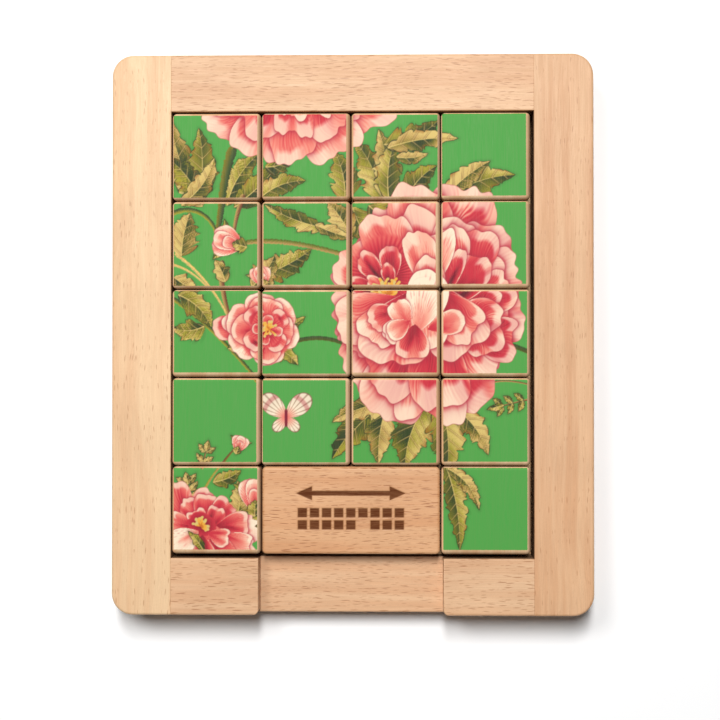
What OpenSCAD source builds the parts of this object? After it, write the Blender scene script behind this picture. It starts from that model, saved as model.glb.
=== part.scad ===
// Sliding picture puzzle: a beech tray with four picture columns and five picture rows,
// eighteen loose tiles printed on both faces, and a double-width spacer block that is
// lifted out at the finger notch before play.
// Millimetres. The origin is the centre of the underside, +Z up, +Y towards the plain rail.

/* [Tray] */
// Overall width of the tray, across its two stiles
frame_w = 146; // [132:1:170]
// Overall length of the tray, along its stiles
frame_l = 170; // [155:1:200]
// Overall thickness of the tray
frame_h = 18; // [17:0.5:22]
// Width of each stile
stile_w = 18; // [16:0.5:22]
// Width of each rail
rail_w = 17.25; // [16:0.25:22]
// Plan radius of the four outer corners
corner_r = 6.5; // [3:0.5:10]
// Radius of the eased outer edges
edge_r = 0.8; // [0.4:0.1:1.5]

/* [Floor and dowels] */
// Thickness of the plywood floor panel
panel_t = 3; // [2:0.5:3.5]
// Width of the rebate that houses the floor panel
rebate_w = 4; // [3:0.5:5]
// Height of the floor panel above the underside
panel_lift = 0.2; // [0.1:0.1:0.5]
// Clearance around the floor panel in its rebate
panel_gap = 0.15; // [0.05:0.05:0.3]
// Diameter of a corner dowel
dowel_d = 5; // [4:0.5:6]
// Length of a corner dowel
dowel_l = 24; // [16:1:28]
// Distance between the two dowels of one corner
dowel_pitch = 8; // [7:0.5:9]

/* [Finger notch] */
// Width of the notch in the lower rail
notch_w = 56; // [40:1:60]
// Depth of the notch below the rim
notch_depth = 7.8; // [4:0.2:8]
// Radius of the notch's outer corners
notch_r = 1.8; // [0.5:0.1:3]

/* [Tiles] */
// Number of columns
columns = 4; // [4:1:5]
// Number of rows
rows = 5; // [5:1:6]
// Thickness of a tile
tile_h = 14.6; // [13:0.1:14.6]
// Gap between neighbouring columns
gap_x = 0.35; // [0.2:0.05:0.6]
// Gap between neighbouring rows
gap_y = 0.4; // [0.2:0.05:0.6]
// Gap between the left stile and the first column
side_gap = 0.4; // [0.3:0.1:0.8]
// Gap between the plain rail and the first row
top_gap = 0.6; // [0.3:0.1:0.8]
// All the play across the tray
slack_x = 1.55; // [1:0.05:2]
// All the play along the tray
slack_y = 1.9; // [1:0.05:2.5]
// Plan radius of a tile's corners
tile_corner_r = 1.3; // [1:0.1:2]
// Radius of a tile's eased edges
tile_edge_r = 0.9; // [0.4:0.1:0.9]

/* [Spacer block] */
// First column that the block fills
block_column = 2; // [1:1:3]
// Extra gap left at each end of the block
block_end_gap = 0.15; // [0:0.05:0.3]
// Depth of the burnt pictogram
mark_depth = 0.25; // [0.1:0.05:0.5]
// Width of the burnt pictogram
mark_w = 33; // [24:1:40]

/* [Hidden] */
$fn = 64;
eps = 0.01;

opening_w = frame_w - 2 * stile_w;
opening_l = frame_l - 2 * rail_w;
joint_x = opening_w / 2;
joint_y = opening_l / 2;

rebate_h = panel_lift + panel_t;
panel_w = opening_w + 2 * (rebate_w - panel_gap);
panel_l = opening_l + 2 * (rebate_w - panel_gap);

dowel_r = dowel_d / 2;
dowel_hole_r = dowel_r + 0.04;
dowel_hole_depth = dowel_l / 2 + 0.3;
dowel_chamfer = 0.6;
dowel_z = (rebate_h + frame_h) / 2 - 0.6;
dowel_y = frame_l / 2 - rail_w / 2;

tile_w = (opening_w - slack_x - (columns - 1) * gap_x) / columns;
tile_l = (opening_l - slack_y - (rows - 1) * gap_y) / rows;
pitch_x = tile_w + gap_x;
pitch_y = tile_l + gap_y;
block_w = 2 * tile_w + gap_x - 2 * block_end_gap;

// Centre of a cell, with column 1 at the left stile and row 1 at the plain rail
function cell_x(c) = side_gap - joint_x + tile_w / 2 + (c - 1) * pitch_x;
function cell_y(r) = joint_y - top_gap - tile_l / 2 - (r - 1) * pitch_y;
function is_block(r, c) = r == rows && (c == block_column || c == block_column + 1);
function tile_name(r, c) = str("tile_r", r, "c", c);

block_x = (cell_x(block_column) + cell_x(block_column + 1)) / 2;
block_y = cell_y(rows);

TILES = [for (r = [1 : rows], c = [1 : columns]) if (!is_block(r, c)) [r, c]];

// Rectangle centred on the origin with four round corners
module round_rect(w, h, r) {
    square([w, h - 2 * r], center = true);
    square([w - 2 * r, h], center = true);
    for (x = [-1, 1], y = [-1, 1])
        translate([x * (w / 2 - r), y * (h / 2 - r)]) circle(r);
}

// Quarter of a corner, turned from its half section so that the eased edge runs round it
module slab_corner(h, r, edge) {
    rotate_extrude(angle = 90)
        intersection() {
            round_rect(2 * r, h, edge);
            translate([0, -h]) square([r, 2 * h]);
        }
}

// Board with round plan corners and eased edges, standing on z = 0
module slab(w, l, h, r, edge) {
    translate([0, 0, h / 2]) {
        rotate([90, 0, 0])
            linear_extrude(l - 2 * r, center = true) round_rect(w, h, edge);
        rotate([90, 0, 90])
            linear_extrude(w - 2 * r, center = true) round_rect(l, h, edge);
        for (q = [0 : 3]) {
            x = (q == 0 || q == 3) ? 1 : -1;
            y = (q < 2) ? 1 : -1;
            translate([x * (w / 2 - r), y * (l / 2 - r), 0])
                rotate([0, 0, 90 * q]) slab_corner(h, r, edge);
        }
    }
}

module tray_blank() {
    slab(frame_w, frame_l, frame_h, corner_r, edge_r);
}

module floor_rebate() {
    translate([-joint_x - rebate_w, -joint_y - rebate_w, -1])
        cube([opening_w + 2 * rebate_w, opening_l + 2 * rebate_w, rebate_h + 1]);
}

// One cylinder for each end of each dowel, so that stiles and rails share the same pattern
module dowel_pattern(r, reach) {
    for (x = [-1, 1], y = [-1, 1], pair = [-1, 1])
        translate([x * joint_x, y * dowel_y + pair * dowel_pitch / 2, dowel_z])
            rotate([0, 90, 0]) cylinder(h = 2 * reach, r = r, center = true);
}

module stile(side) {
    difference() {
        intersection() {
            tray_blank();
            translate([side > 0 ? joint_x : -frame_w, -frame_l, -1])
                cube([frame_w - joint_x, 2 * frame_l, frame_h + 2]);
        }
        floor_rebate();
        dowel_pattern(dowel_hole_r, dowel_hole_depth);
    }
}

module rail(side) {
    difference() {
        intersection() {
            tray_blank();
            translate([-joint_x, side > 0 ? joint_y : -frame_l, -1])
                cube([opening_w, frame_l - joint_y, frame_h + 2]);
        }
        floor_rebate();
        dowel_pattern(dowel_hole_r, dowel_hole_depth);
    }
}

// Plan of the notch: a straight channel whose outer corners are eased
module notch_plan() {
    reach = rail_w + 2;
    translate([-notch_w / 2, -frame_l / 2 - 1]) square([notch_w, reach]);
    for (side = [-1, 1])
        translate([side * notch_w / 2, -frame_l / 2])
            difference() {
                translate([-notch_r, -1]) square([2 * notch_r, notch_r + 1]);
                translate([side * notch_r, notch_r]) circle(notch_r);
            }
}

// The pictogram: a row of arrowheads on a bar above two rows of squares with one missing
module mark_plan() {
    bar_t = mark_w / 24;
    head_l = mark_w / 7;
    head_w = mark_w / 8;
    bar_y = mark_w / 6.4;
    count = 9;
    step = mark_w / count;
    side = step * 0.74;
    translate([0, bar_y]) {
        square([mark_w - 2 * head_l + 0.4, bar_t], center = true);
        for (s = [-1, 1])
            scale([s, 1])
                polygon([
                    [mark_w / 2, 0],
                    [mark_w / 2 - head_l, head_w / 2],
                    [mark_w / 2 - head_l, -head_w / 2]
                ]);
    }
    for (i = [0 : count - 1], j = [0, 1])
        if (!(i == 5 && j == 1))
            translate([(i - (count - 1) / 2) * step, -j * step - step * 0.2])
                square(side, center = true);
}

module left_stile() { color([0.90, 0.76, 0.58]) stile(-1); }
module right_stile() { color([0.85, 0.70, 0.54]) stile(1); }
module top_rail() { color([0.88, 0.72, 0.56]) rail(1); }

module bottom_rail() {
    color([0.88, 0.72, 0.56])
        difference() {
            rail(-1);
            translate([block_x, 0, frame_h - notch_depth])
                linear_extrude(notch_depth + 1) notch_plan();
        }
}

module floor_panel() {
    color([0.80, 0.66, 0.48])
        translate([-panel_w / 2, -panel_l / 2, panel_lift])
            cube([panel_w, panel_l, panel_t]);
}

module corner_dowels() {
    straight = dowel_l / 2 - dowel_chamfer;
    color([0.78, 0.62, 0.44])
        for (x = [-1, 1], y = [-1, 1], pair = [-1, 1])
            translate([x * joint_x, y * dowel_y + pair * dowel_pitch / 2, dowel_z])
                rotate([0, 90, 0])
                    rotate_extrude()
                        polygon([
                            [0, -dowel_l / 2],
                            [dowel_r - dowel_chamfer, -dowel_l / 2],
                            [dowel_r, -straight],
                            [dowel_r, straight],
                            [dowel_r - dowel_chamfer, dowel_l / 2],
                            [0, dowel_l / 2]
                        ]);
}

module spacer_block() {
    color([0.78, 0.58, 0.42])
        translate([block_x, block_y, rebate_h])
            difference() {
                slab(block_w, tile_l, tile_h, tile_corner_r, tile_edge_r);
                translate([0, 0, tile_h - mark_depth])
                    linear_extrude(mark_depth + 1) mark_plan();
            }
}

module tile(r, c) {
    color([0.30, 0.62, 0.36])
        translate([cell_x(c), cell_y(r), rebate_h])
            slab(tile_w, tile_l, tile_h, tile_corner_r, tile_edge_r);
}

left_stile();
right_stile();
top_rail();
bottom_rail();
floor_panel();
corner_dowels();
spacer_block();
for (t = TILES)
    tile(t[0], t[1]);
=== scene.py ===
"""A sliding picture puzzle: beech tray, floor panel, loose printed tiles and a spacer block.

The frame gives every size and place. Lengths are in metres, and the painted picture is in
millimetres from its own top left corner.
"""

import math

import bmesh
import bpy
import numpy as np
from mathutils import Matrix, Vector


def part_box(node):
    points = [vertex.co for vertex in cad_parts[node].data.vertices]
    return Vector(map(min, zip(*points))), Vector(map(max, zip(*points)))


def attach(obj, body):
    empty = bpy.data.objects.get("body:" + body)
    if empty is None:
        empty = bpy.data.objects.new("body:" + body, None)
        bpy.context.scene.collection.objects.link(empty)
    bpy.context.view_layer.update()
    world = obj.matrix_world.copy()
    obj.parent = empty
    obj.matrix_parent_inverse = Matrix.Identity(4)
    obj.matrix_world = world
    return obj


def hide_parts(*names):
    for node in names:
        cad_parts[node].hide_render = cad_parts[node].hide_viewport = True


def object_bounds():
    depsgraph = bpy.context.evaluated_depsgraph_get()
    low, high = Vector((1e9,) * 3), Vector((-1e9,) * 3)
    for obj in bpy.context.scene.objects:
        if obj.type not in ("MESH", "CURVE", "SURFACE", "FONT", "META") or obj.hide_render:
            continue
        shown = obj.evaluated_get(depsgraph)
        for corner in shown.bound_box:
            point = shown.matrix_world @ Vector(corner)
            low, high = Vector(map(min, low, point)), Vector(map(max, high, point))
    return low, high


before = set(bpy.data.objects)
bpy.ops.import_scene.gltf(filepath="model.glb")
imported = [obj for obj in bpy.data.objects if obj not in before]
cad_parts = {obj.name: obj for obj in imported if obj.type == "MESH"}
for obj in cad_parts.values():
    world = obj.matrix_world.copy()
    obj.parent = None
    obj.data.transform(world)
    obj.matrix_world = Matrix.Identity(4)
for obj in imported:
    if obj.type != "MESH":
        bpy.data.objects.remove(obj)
CAD_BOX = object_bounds()

bl_info = {
    "name": "Sliding Picture Puzzle",
    "version": (1, 0, 0),
    "blender": (4, 5, 0),
    "location": "View3D > Sidebar > Puzzle",
    "description": "Builds the visible pieces of a wooden sliding picture puzzle round its frame",
    "category": "Add Mesh",
}

MM = 0.001
ROWS = 5
COLUMNS = 4
# Painted shade on the opening's walls, in place of the shade down in the gaps round the tiles:
# where it starts and is full below the rim, how far it reaches into the wood, and how strong it is
WALL_SHADE_START = 0.4 * MM
WALL_SHADE_FULL = 2.4 * MM
WALL_SHADE_WIDTH = 0.2 * MM
WALL_SHADE_DARKEST = 0.72
TILES = {
    (row, column): f"tile_r{row}c{column}"
    for row in range(1, ROWS + 1)
    for column in range(1, COLUMNS + 1)
    if f"tile_r{row}c{column}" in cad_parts
}


def linear(text, alpha=1.0):
    """A hex colour as the linear values that a colour socket takes."""
    parts = [int(text[i : i + 2], 16) / 255 for i in (0, 2, 4)]
    low = [p / 12.92 if p <= 0.04045 else ((p + 0.055) / 1.055) ** 2.4 for p in parts]
    return (*low, alpha)


def to_linear(colours):
    """The same for an array of painted colours."""
    return np.where(colours <= 0.04045, colours / 12.92, ((colours + 0.055) / 1.055) ** 2.4)


def from_linear(colours):
    """Painted values of an array of linear colours."""
    colours = np.clip(colours, 0, 1)
    return np.where(colours <= 0.0031308, colours * 12.92, 1.055 * colours ** (1 / 2.4) - 0.055)


# --- Sizes and colours that a user would change -------------------------------------------------


def length(name, description, default, **more):
    return bpy.props.FloatProperty(
        name=name,
        description=description,
        default=default,
        unit="LENGTH",
        subtype="DISTANCE",
        precision=5,
        **more,
    )


def colour(name, description, text):
    return bpy.props.FloatVectorProperty(
        name=name,
        description=description,
        default=linear(text),
        subtype="COLOR",
        size=4,
        min=0.0,
        max=1.0,
    )


def factor(name, description, default, top=1.0):
    return bpy.props.FloatProperty(
        name=name, description=description, default=default, min=0.0, max=top, subtype="FACTOR"
    )


def angle(name, description, degrees):
    return bpy.props.FloatProperty(
        name=name, description=description, default=math.radians(degrees), subtype="ANGLE"
    )


def power(name, description, default):
    return bpy.props.FloatProperty(
        name=name, description=description, default=default, min=0.0, unit="POWER"
    )


class PuzzleTray(bpy.types.PropertyGroup):
    """Stiles, rails, floor panel and dowels"""

    corner: length("Corner radius", "Plan radius of the tray's four corners", 6.5 * MM)
    notch_width: length("Notch width", "Width of the finger notch", 56 * MM)
    notch_depth: length("Notch depth", "How far the notch is cut down from the rim", 7.8 * MM)
    notch_corner: length("Notch corner", "Plan radius of the notch's mouth", 1.8 * MM)
    outer_ease: length("Outer ease", "Radius of the eased outer edges", 0.8 * MM)
    inner_ease: length("Inner ease", "Radius of the edges round the opening and the notch", 0.35 * MM)
    joint_ease: length("Joint ease", "Radius of the fine line where stile meets rail", 0.13 * MM)
    floor_ease: length("Notch lip ease", "Radius of the notch floor's outer lip", 0.6 * MM)
    left_light: colour("Left stile, light", "Pale wood of the left stile", "e3bf95")
    left_dark: colour("Left stile, dark", "Darker growth of the left stile", "dab086")
    right_light: colour("Right stile, light", "Pale wood of the right stile", "d7ac84")
    right_dark: colour("Right stile, dark", "Darker growth of the right stile", "cc9b72")
    rail_light: colour("Rails, light", "Pale wood of the rails", "dbb28b")
    rail_dark: colour("Rails, dark", "Darker growth of the rails", "d1a27a")
    fleck: colour("Flecks", "Colour of the ray flecks", "935425")
    # Painted shade: the dark brown that the walls round the tiles are darkened towards
    wall_shade_colour: colour("Painted wall shade", "Colour of the painted shade on the walls round the tiles", "3c2414")
    flute_count: bpy.props.IntProperty(
        name="Dowel flutes", description="Number of flutes on a dowel", default=16, min=6, max=32
    )
    flute_depth: length("Flute depth", "How deep a dowel's flutes are", 0.18 * MM)


class PuzzleTiles(bpy.types.PropertyGroup):
    """Loose picture tiles"""

    corner: length("Corner radius", "Plan radius of a tile's corners", 1.3 * MM)
    ease: length("Edge radius", "Radius of a tile's eased edges", 0.9 * MM)
    step: length("Face step", "Spacing of the painted face's mesh", 0.185 * MM)
    margin_near: length("Near margin", "Bare wood left of and above the print", 0.42 * MM)
    margin_far: length("Far margin", "Bare wood right of and below the print", 1.12 * MM)
    drift: length("Print drift", "How far a print may lie off its place", 0.2 * MM)
    light: colour("Bare wood, light", "Pale wood of a tile's edges", "d3b08a")
    dark: colour("Bare wood, dark", "Darker growth of a tile's edges", "c39870")
    ground: colour("Picture ground", "Green ground of the picture", "4c9a45")
    back: colour("Back ground", "Ground of the print on a tile's back", "3f7f86")
    back_mark: colour("Back figure", "Figure of the print on a tile's back", "e9dcae")


class PuzzleBlock(bpy.types.PropertyGroup):
    """Double-width spacer block"""

    light: colour("Light", "Pale wood of the block", "d4a276")
    dark: colour("Dark", "Darker growth of the block", "cb9366")
    burnt: colour("Burnt", "Colour of the burnt pictogram", "562911")
    scorch: colour("Scorch", "Colour of the halo round the burnt pictogram", "a0683f")
    depth: length("Burnt depth", "Depth of the burnt pictogram", 0.25 * MM)
    mark_width: length("Pictogram width", "Width of the burnt pictogram", 33 * MM)


class PuzzleStage(bpy.types.PropertyGroup):
    """Floor, lights and camera"""

    floor: colour("Floor", "Colour of the floor", "fbfbfb")
    key_power: power("Key power", "Power of the key light", 11.3)
    key_tilt: angle("Key tilt", "How far the key leans towards the plain rail", 18.5)
    key_width: length("Key width", "Width of the key light", 140 * MM)
    key_length: length("Key length", "Length of the key light", 450 * MM)
    side_power: power("Side power", "Power of the light on the left", 3.7)
    side_tilt: angle("Side tilt", "How far the side light leans to the left and back", 28)
    side_size: length("Side size", "Width of the square side light", 300 * MM)
    fill: factor("Fill", "Brightness of the even light from all round", 0.06, 4.0)
    distance: length("Camera distance", "From the camera to the tray's rim", 480 * MM)
    aim_x: length("Aim across", "Where the camera looks, right of the tray's centre", 2.4 * MM)
    aim_y: length("Aim along", "Where the camera looks, above the tray's centre", -7.75 * MM)
    step_x: length("Step across", "How far right of that point the camera stands", 12 * MM)
    step_y: length("Step along", "How far above that point the camera stands", -6 * MM)
    view_width: length("View width", "Width of the view at the tray's rim", 217.7 * MM)


# --- Node trees ---------------------------------------------------------------------------------


class Net:
    """Adds nodes to one tree and links them in the order that they are made."""

    def __init__(self, tree):
        self.tree = tree

    def add(self, kind, settings=None, **inputs):
        node = self.tree.nodes.new(kind)
        for name, value in (settings or {}).items():
            setattr(node, name, value)
        for name, value in inputs.items():
            self.feed(node.inputs[name.replace("_", " ")], value)
        return node

    def feed(self, socket, value):
        if isinstance(value, bpy.types.NodeSocket):
            self.tree.links.new(value, socket)
        elif value is not None:
            socket.default_value = value

    def math(self, operation, first, second=None, third=None, clamp=False):
        node = self.add("ShaderNodeMath", {"operation": operation, "use_clamp": clamp})
        for socket, value in zip(node.inputs, (first, second, third)):
            self.feed(socket, value)
        return node.outputs[0]

    def vector(self, operation, first, second=None):
        node = self.add("ShaderNodeVectorMath", {"operation": operation})
        self.feed(node.inputs[0], first)
        self.feed(node.inputs[1], second)
        return node.outputs["Value" if operation in ("LENGTH", "DOT_PRODUCT") else "Vector"]

    def mix(self, part, first, second, blend="MIX"):
        node = self.add("ShaderNodeMix", {"data_type": "RGBA", "blend_type": blend})
        self.feed(node.inputs[0], part)
        self.feed(node.inputs[6], first)
        self.feed(node.inputs[7], second)
        return node.outputs[2]

    def stretch(self, value, low, high, out_low=0.0, out_high=1.0, smooth=True):
        kind = "SMOOTHSTEP" if smooth else "LINEAR"
        node = self.add("ShaderNodeMapRange", {"interpolation_type": kind, "clamp": True})
        for socket, part in zip(node.inputs, (value, low, high, out_low, out_high)):
            self.feed(socket, part)
        return node.outputs[0]

    def noise(self, vector, scale, detail=2.0, roughness=0.5, distortion=0.0):
        node = self.add(
            "ShaderNodeTexNoise",
            Vector=vector,
            Scale=scale,
            Detail=detail,
            Roughness=roughness,
            Distortion=distortion,
        )
        return node.outputs[0]


def shader_group(name, inputs, outputs):
    """A new shader node group with named sockets, and the tree's own input and output nodes."""
    tree = bpy.data.node_groups.new(name, "ShaderNodeTree")
    for label, kind, default in inputs:
        socket = tree.interface.new_socket(label, in_out="INPUT", socket_type=kind)
        if default is not None:
            socket.default_value = default
    for label, kind in outputs:
        tree.interface.new_socket(label, in_out="OUTPUT", socket_type=kind)
    return tree, tree.nodes.new("NodeGroupInput").outputs, tree.nodes.new("NodeGroupOutput").inputs


FLOAT, VECTOR, COLOR = "NodeSocketFloat", "NodeSocketVector", "NodeSocketColor"


def beech_grain_group():
    """Growth bands, fibres and spindle-shaped ray flecks of beech whose grain runs along X."""
    tree, given, out = shader_group(
        "beech_grain",
        [
            ("Vector", VECTOR, None),
            ("Band width", FLOAT, 3.6),
            ("Fleck length", FLOAT, 1.5),
            ("Fleck share", FLOAT, 0.6),
        ],
        [("Growth", FLOAT), ("Fibre", FLOAT), ("Fleck", FLOAT), ("Relief", FLOAT)],
    )
    net = Net(tree)
    place = net.vector("MULTIPLY", given["Vector"], (1000, 1000, 1000))
    sway = net.noise(net.vector("MULTIPLY", place, (0.022, 0.05, 0.05)), 1.0, 1.0)
    sway = net.math("MULTIPLY_ADD", sway, 3.6, -1.8)
    lean = net.add("ShaderNodeCombineXYZ", X=0.0, Y=sway, Z=sway).outputs[0]
    bent = net.vector("ADD", place, lean)
    across = net.math("DIVIDE", 1.0, given["Band width"])
    band = net.add("ShaderNodeCombineXYZ", X=0.012, Y=across, Z=across).outputs[0]
    growth = net.noise(net.vector("MULTIPLY", bent, band), 1.0, 3.0, 0.55)
    growth = net.stretch(growth, 0.34, 0.68)
    fibre = net.noise(net.vector("MULTIPLY", bent, (0.09, 4.2, 4.2)), 1.0, 3.0, 0.6)
    fibre = net.stretch(fibre, 0.3, 0.72)
    # Ray flecks: one slim ellipsoid round each feature point of a stretched cell pattern
    cell = (3.1, 0.78, 0.85)
    scaled = net.vector("DIVIDE", bent, cell)
    cells = net.add("ShaderNodeTexVoronoi", {"voronoi_dimensions": "3D"}, Vector=scaled, Scale=1.0)
    away = net.vector("SUBTRACT", scaled, cells.outputs["Position"])
    away = net.vector("MULTIPLY", away, cell)
    parts = net.add("ShaderNodeSeparateXYZ", Vector=away)
    chance = net.add("ShaderNodeSeparateColor", Color=cells.outputs["Color"])
    tilt = net.math("MULTIPLY_ADD", chance.outputs["Green"], 0.22, -0.11)
    aside = net.math("MULTIPLY_ADD", parts.outputs["X"], tilt, parts.outputs["Y"])
    reach = net.math("MULTIPLY", given["Fleck length"], chance.outputs["Blue"])
    reach = net.math("ADD", reach, 0.55)
    long = net.math("POWER", net.math("DIVIDE", parts.outputs["X"], reach), 2.0)
    slim = net.math("POWER", net.math("DIVIDE", aside, 0.155), 2.0)
    deep = net.math("POWER", net.math("DIVIDE", parts.outputs["Z"], 0.42), 2.0)
    total = net.math("ADD", net.math("ADD", long, slim), deep)
    fleck = net.stretch(total, 1.25, 0.15)
    shown = net.math("LESS_THAN", chance.outputs["Red"], given["Fleck share"])
    strength = net.math("MULTIPLY_ADD", chance.outputs["Blue"], 0.6, 0.4)
    fleck = net.math("MULTIPLY", net.math("MULTIPLY", fleck, shown), strength)
    relief = net.math("MULTIPLY_ADD", fleck, -0.6, net.math("MULTIPLY", fibre, 0.5))
    for label, value in zip(("Growth", "Fibre", "Fleck", "Relief"), (growth, fibre, fleck, relief)):
        net.feed(out[label], value)
    return tree


def handling_group():
    """Slow unevenness of a waxed wooden surface: soft clouds and a fine speckle."""
    tree, given, out = shader_group(
        "handling", [("Vector", VECTOR, None), ("Amount", FLOAT, 1.0)], [("Shade", FLOAT)]
    )
    net = Net(tree)
    clouds = net.stretch(net.noise(given["Vector"], 45.0, 3.0), 0.3, 0.7, -0.5, 0.5)
    speckle = net.stretch(net.noise(given["Vector"], 1900.0, 2.0), 0.3, 0.7, -0.25, 0.25)
    both = net.math("MULTIPLY", net.math("ADD", clouds, speckle), given["Amount"])
    net.feed(out["Shade"], both)
    return tree


def ink_film_group():
    """Ink printed on wood: ragged at its edge, thin over open pores, tinted by the fibres."""
    tree, given, out = shader_group(
        "ink_film",
        [
            ("Wood", COLOR, None),
            ("Ink", COLOR, None),
            ("Cover", FLOAT, 1.0),
            ("Fibre", FLOAT, 0.5),
            ("Vector", VECTOR, None),
        ],
        [("Color", COLOR), ("Film", FLOAT)],
    )
    net = Net(tree)
    rag = net.noise(given["Vector"], 2600.0, 3.0, 0.6)
    edge = net.math("ADD", given["Cover"], net.math("MULTIPLY_ADD", rag, 0.9, -0.45))
    film = net.stretch(edge, 0.3, 0.7)
    film = net.math("MULTIPLY", film, net.stretch(given["Cover"], 0.02, 0.3))
    thin = net.stretch(given["Fibre"], 0.05, 0.95, 1.0, 0.0)
    shown = net.math("MULTIPLY_ADD", thin, -0.03, film, clamp=True)
    toned = net.math("MULTIPLY_ADD", given["Fibre"], 0.04, 0.97)
    ink = net.mix(1.0, given["Ink"], toned, "MULTIPLY")
    net.feed(out["Color"], net.mix(shown, given["Wood"], ink))
    net.feed(out["Film"], film)
    return tree


def use_group(net, name, **inputs):
    node = net.add("ShaderNodeGroup", {"node_tree": bpy.data.node_groups[name]}, **inputs)
    return node.outputs


def new_material(name):
    material = bpy.data.materials.new(name)
    material.use_nodes = True
    tree = material.node_tree
    tree.nodes.clear()
    net = Net(tree)
    shader = net.add("ShaderNodeBsdfPrincipled")
    net.add("ShaderNodeOutputMaterial", Surface=shader.outputs[0])
    return material, net, shader


def grain_place(net, turn, shift):
    """Object coordinates turned so that the grain runs along X, and moved to its own stretch of wood."""
    where = net.add("ShaderNodeTexCoord").outputs["Object"]
    return net.add(
        "ShaderNodeMapping", Vector=where, Rotation=(0, 0, turn), Location=shift
    ).outputs[0]


def wood_colour(net, place, light, dark, fleck, share=0.6, fleck_depth=0.75, band=3.6, reach=1.5):
    """The colour, fibres and relief of bare beech."""
    grain = use_group(
        net, "beech_grain", Vector=place, Band_width=band, Fleck_length=reach, Fleck_share=share
    )
    tone = net.mix(grain["Growth"], light, dark)
    fibre = net.math("MULTIPLY_ADD", grain["Fibre"], -0.11, 1.05)
    shade = use_group(net, "handling", Vector=place, Amount=0.07)["Shade"]
    tone = net.mix(1.0, tone, net.math("ADD", fibre, shade), "MULTIPLY")
    tone = net.mix(net.math("MULTIPLY", grain["Fleck"], fleck_depth), tone, fleck)
    return tone, grain


def wood_finish(net, shader, tone, grain, roughness=0.5, bump=0.25):
    """Waxed, sanded beech: fibres raise the surface and roughen it a little."""
    net.feed(shader.inputs["Base Color"], tone)
    rough = net.math("MULTIPLY_ADD", grain["Fibre"], 0.12, roughness - 0.06)
    rough = net.math("MULTIPLY_ADD", grain["Fleck"], -0.08, rough)
    net.feed(shader.inputs["Roughness"], rough)
    raised = net.add("ShaderNodeBump", Strength=bump, Distance=0.12 * MM, Height=grain["Relief"])
    net.feed(shader.inputs["Normal"], raised.outputs[0])
    shader.inputs["Specular IOR Level"].default_value = 0.35


def beech(name, light, dark, fleck, turn=0.0, shift=(0, 0, 0), walls=None, **detail):
    """A whole material of bare beech. Walls, if given, are the colour of their painted shade, and where they
    stand.
    """
    material, net, shader = new_material(name)
    place = grain_place(net, turn, shift)
    tone, grain = wood_colour(net, place, light, dark, fleck, **detail)
    if walls:
        wall_shade_colour, across, along = walls
        # Painted shade: the walls round the tiles are darkened towards a dark brown below the rim
        tone = net.mix(painted_wall_shade(net, across, along), tone, wall_shade_colour)
    wood_finish(net, shader, tone, grain)
    return material


def painted_wall_shade(net, across, along):
    """How much painted shade the walls round the tiles get: none at the rim, and full a set depth below it,
    a little mottled.
    """
    where = net.add("ShaderNodeTexCoord").outputs["Object"]
    parts = net.add("ShaderNodeSeparateXYZ", Vector=where).outputs
    rim = CAD_BOX[1].z
    mask = net.stretch(parts["Z"], rim - WALL_SHADE_START, rim - WALL_SHADE_FULL, 0.0, WALL_SHADE_DARKEST)
    for axis, edge in (("X", across), ("Y", along)):
        inside = net.math("LESS_THAN", net.math("ABSOLUTE", parts[axis]), abs(edge) + WALL_SHADE_WIDTH)
        mask = net.math("MULTIPLY", mask, inside)
    return net.math("MULTIPLY", mask, net.stretch(net.noise(where, 300.0), 0.2, 0.6, 0.8, 1.0))


# --- Shapes -------------------------------------------------------------------------------------


def new_piece(name, mesh, body, stands_for):
    """Links a finished mesh as a piece of the puzzle and tells the frame about it."""
    piece = bpy.data.objects.new(name, mesh)
    bpy.context.scene.collection.objects.link(piece)
    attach(piece, body)
    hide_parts(stands_for)
    return piece


def arc(centre, radius, start, end, steps=10):
    """Points on part of a circle, in degrees."""
    angles = (math.radians(start + (end - start) * i / steps) for i in range(steps + 1))
    return [(centre[0] + radius * math.cos(a), centre[1] + radius * math.sin(a)) for a in angles]


def rounded_box(low, high, radius=0.0, steps=10):
    """An anticlockwise rectangle with round corners."""
    left, near, right, far = low[0] + radius, low[1] + radius, high[0] - radius, high[1] - radius
    middles = ((right, near), (right, far), (left, far), (left, near))
    points = []
    for turn, middle in enumerate(middles):
        points += arc(middle, radius, 90 * turn - 90, 90 * turn, steps) if radius else [middle]
    return points


def inset(outline, distance):
    """An anticlockwise outline moved inwards, with mitred corners."""
    moved = []
    for before, here, after in zip(outline[-1:] + outline[:-1], outline, outline[1:] + outline[:1]):
        first = (Vector(here) - Vector(before)).normalized()
        second = (Vector(after) - Vector(here)).normalized()
        turn = distance / (1 + first.dot(second))
        moved.append((here[0] - (first.y + second.y) * turn, here[1] + (first.x + second.x) * turn))
    return moved


def stack(rings):
    """A closed solid through outlines of one count of points, each at its own height."""
    shape = bmesh.new()
    loops = [[shape.verts.new((x, y, height)) for x, y in outline] for outline, height in rings]
    shape.faces.new(loops[0][::-1])
    shape.faces.new(loops[-1])
    count = len(loops[0])
    for lower, upper in zip(loops[:-1], loops[1:]):
        for i in range(count):
            j = (i + 1) % count
            shape.faces.new((lower[i], lower[j], upper[j], upper[i]))
    mesh = bpy.data.meshes.new("prism")
    shape.to_mesh(mesh)
    shape.free()
    return mesh


def prism(outline, low, high, ease=0.0, foot=0.0, steps=6):
    """A plank over an outline, with its top and bottom edges rounded."""
    turns = [math.radians(90 * i / steps) for i in range(steps + 1)]
    below = [(foot * (1 - math.cos(t)), low + foot * (1 - math.sin(t))) for t in turns[::-1]]
    above = [(ease * (1 - math.cos(t)), high - ease * (1 - math.sin(t))) for t in turns]
    below = below if foot else [(0.0, low)]
    above = above if ease else [(0.0, high)]
    return stack([(inset(outline, off), height) for off, height in below + above])


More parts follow.
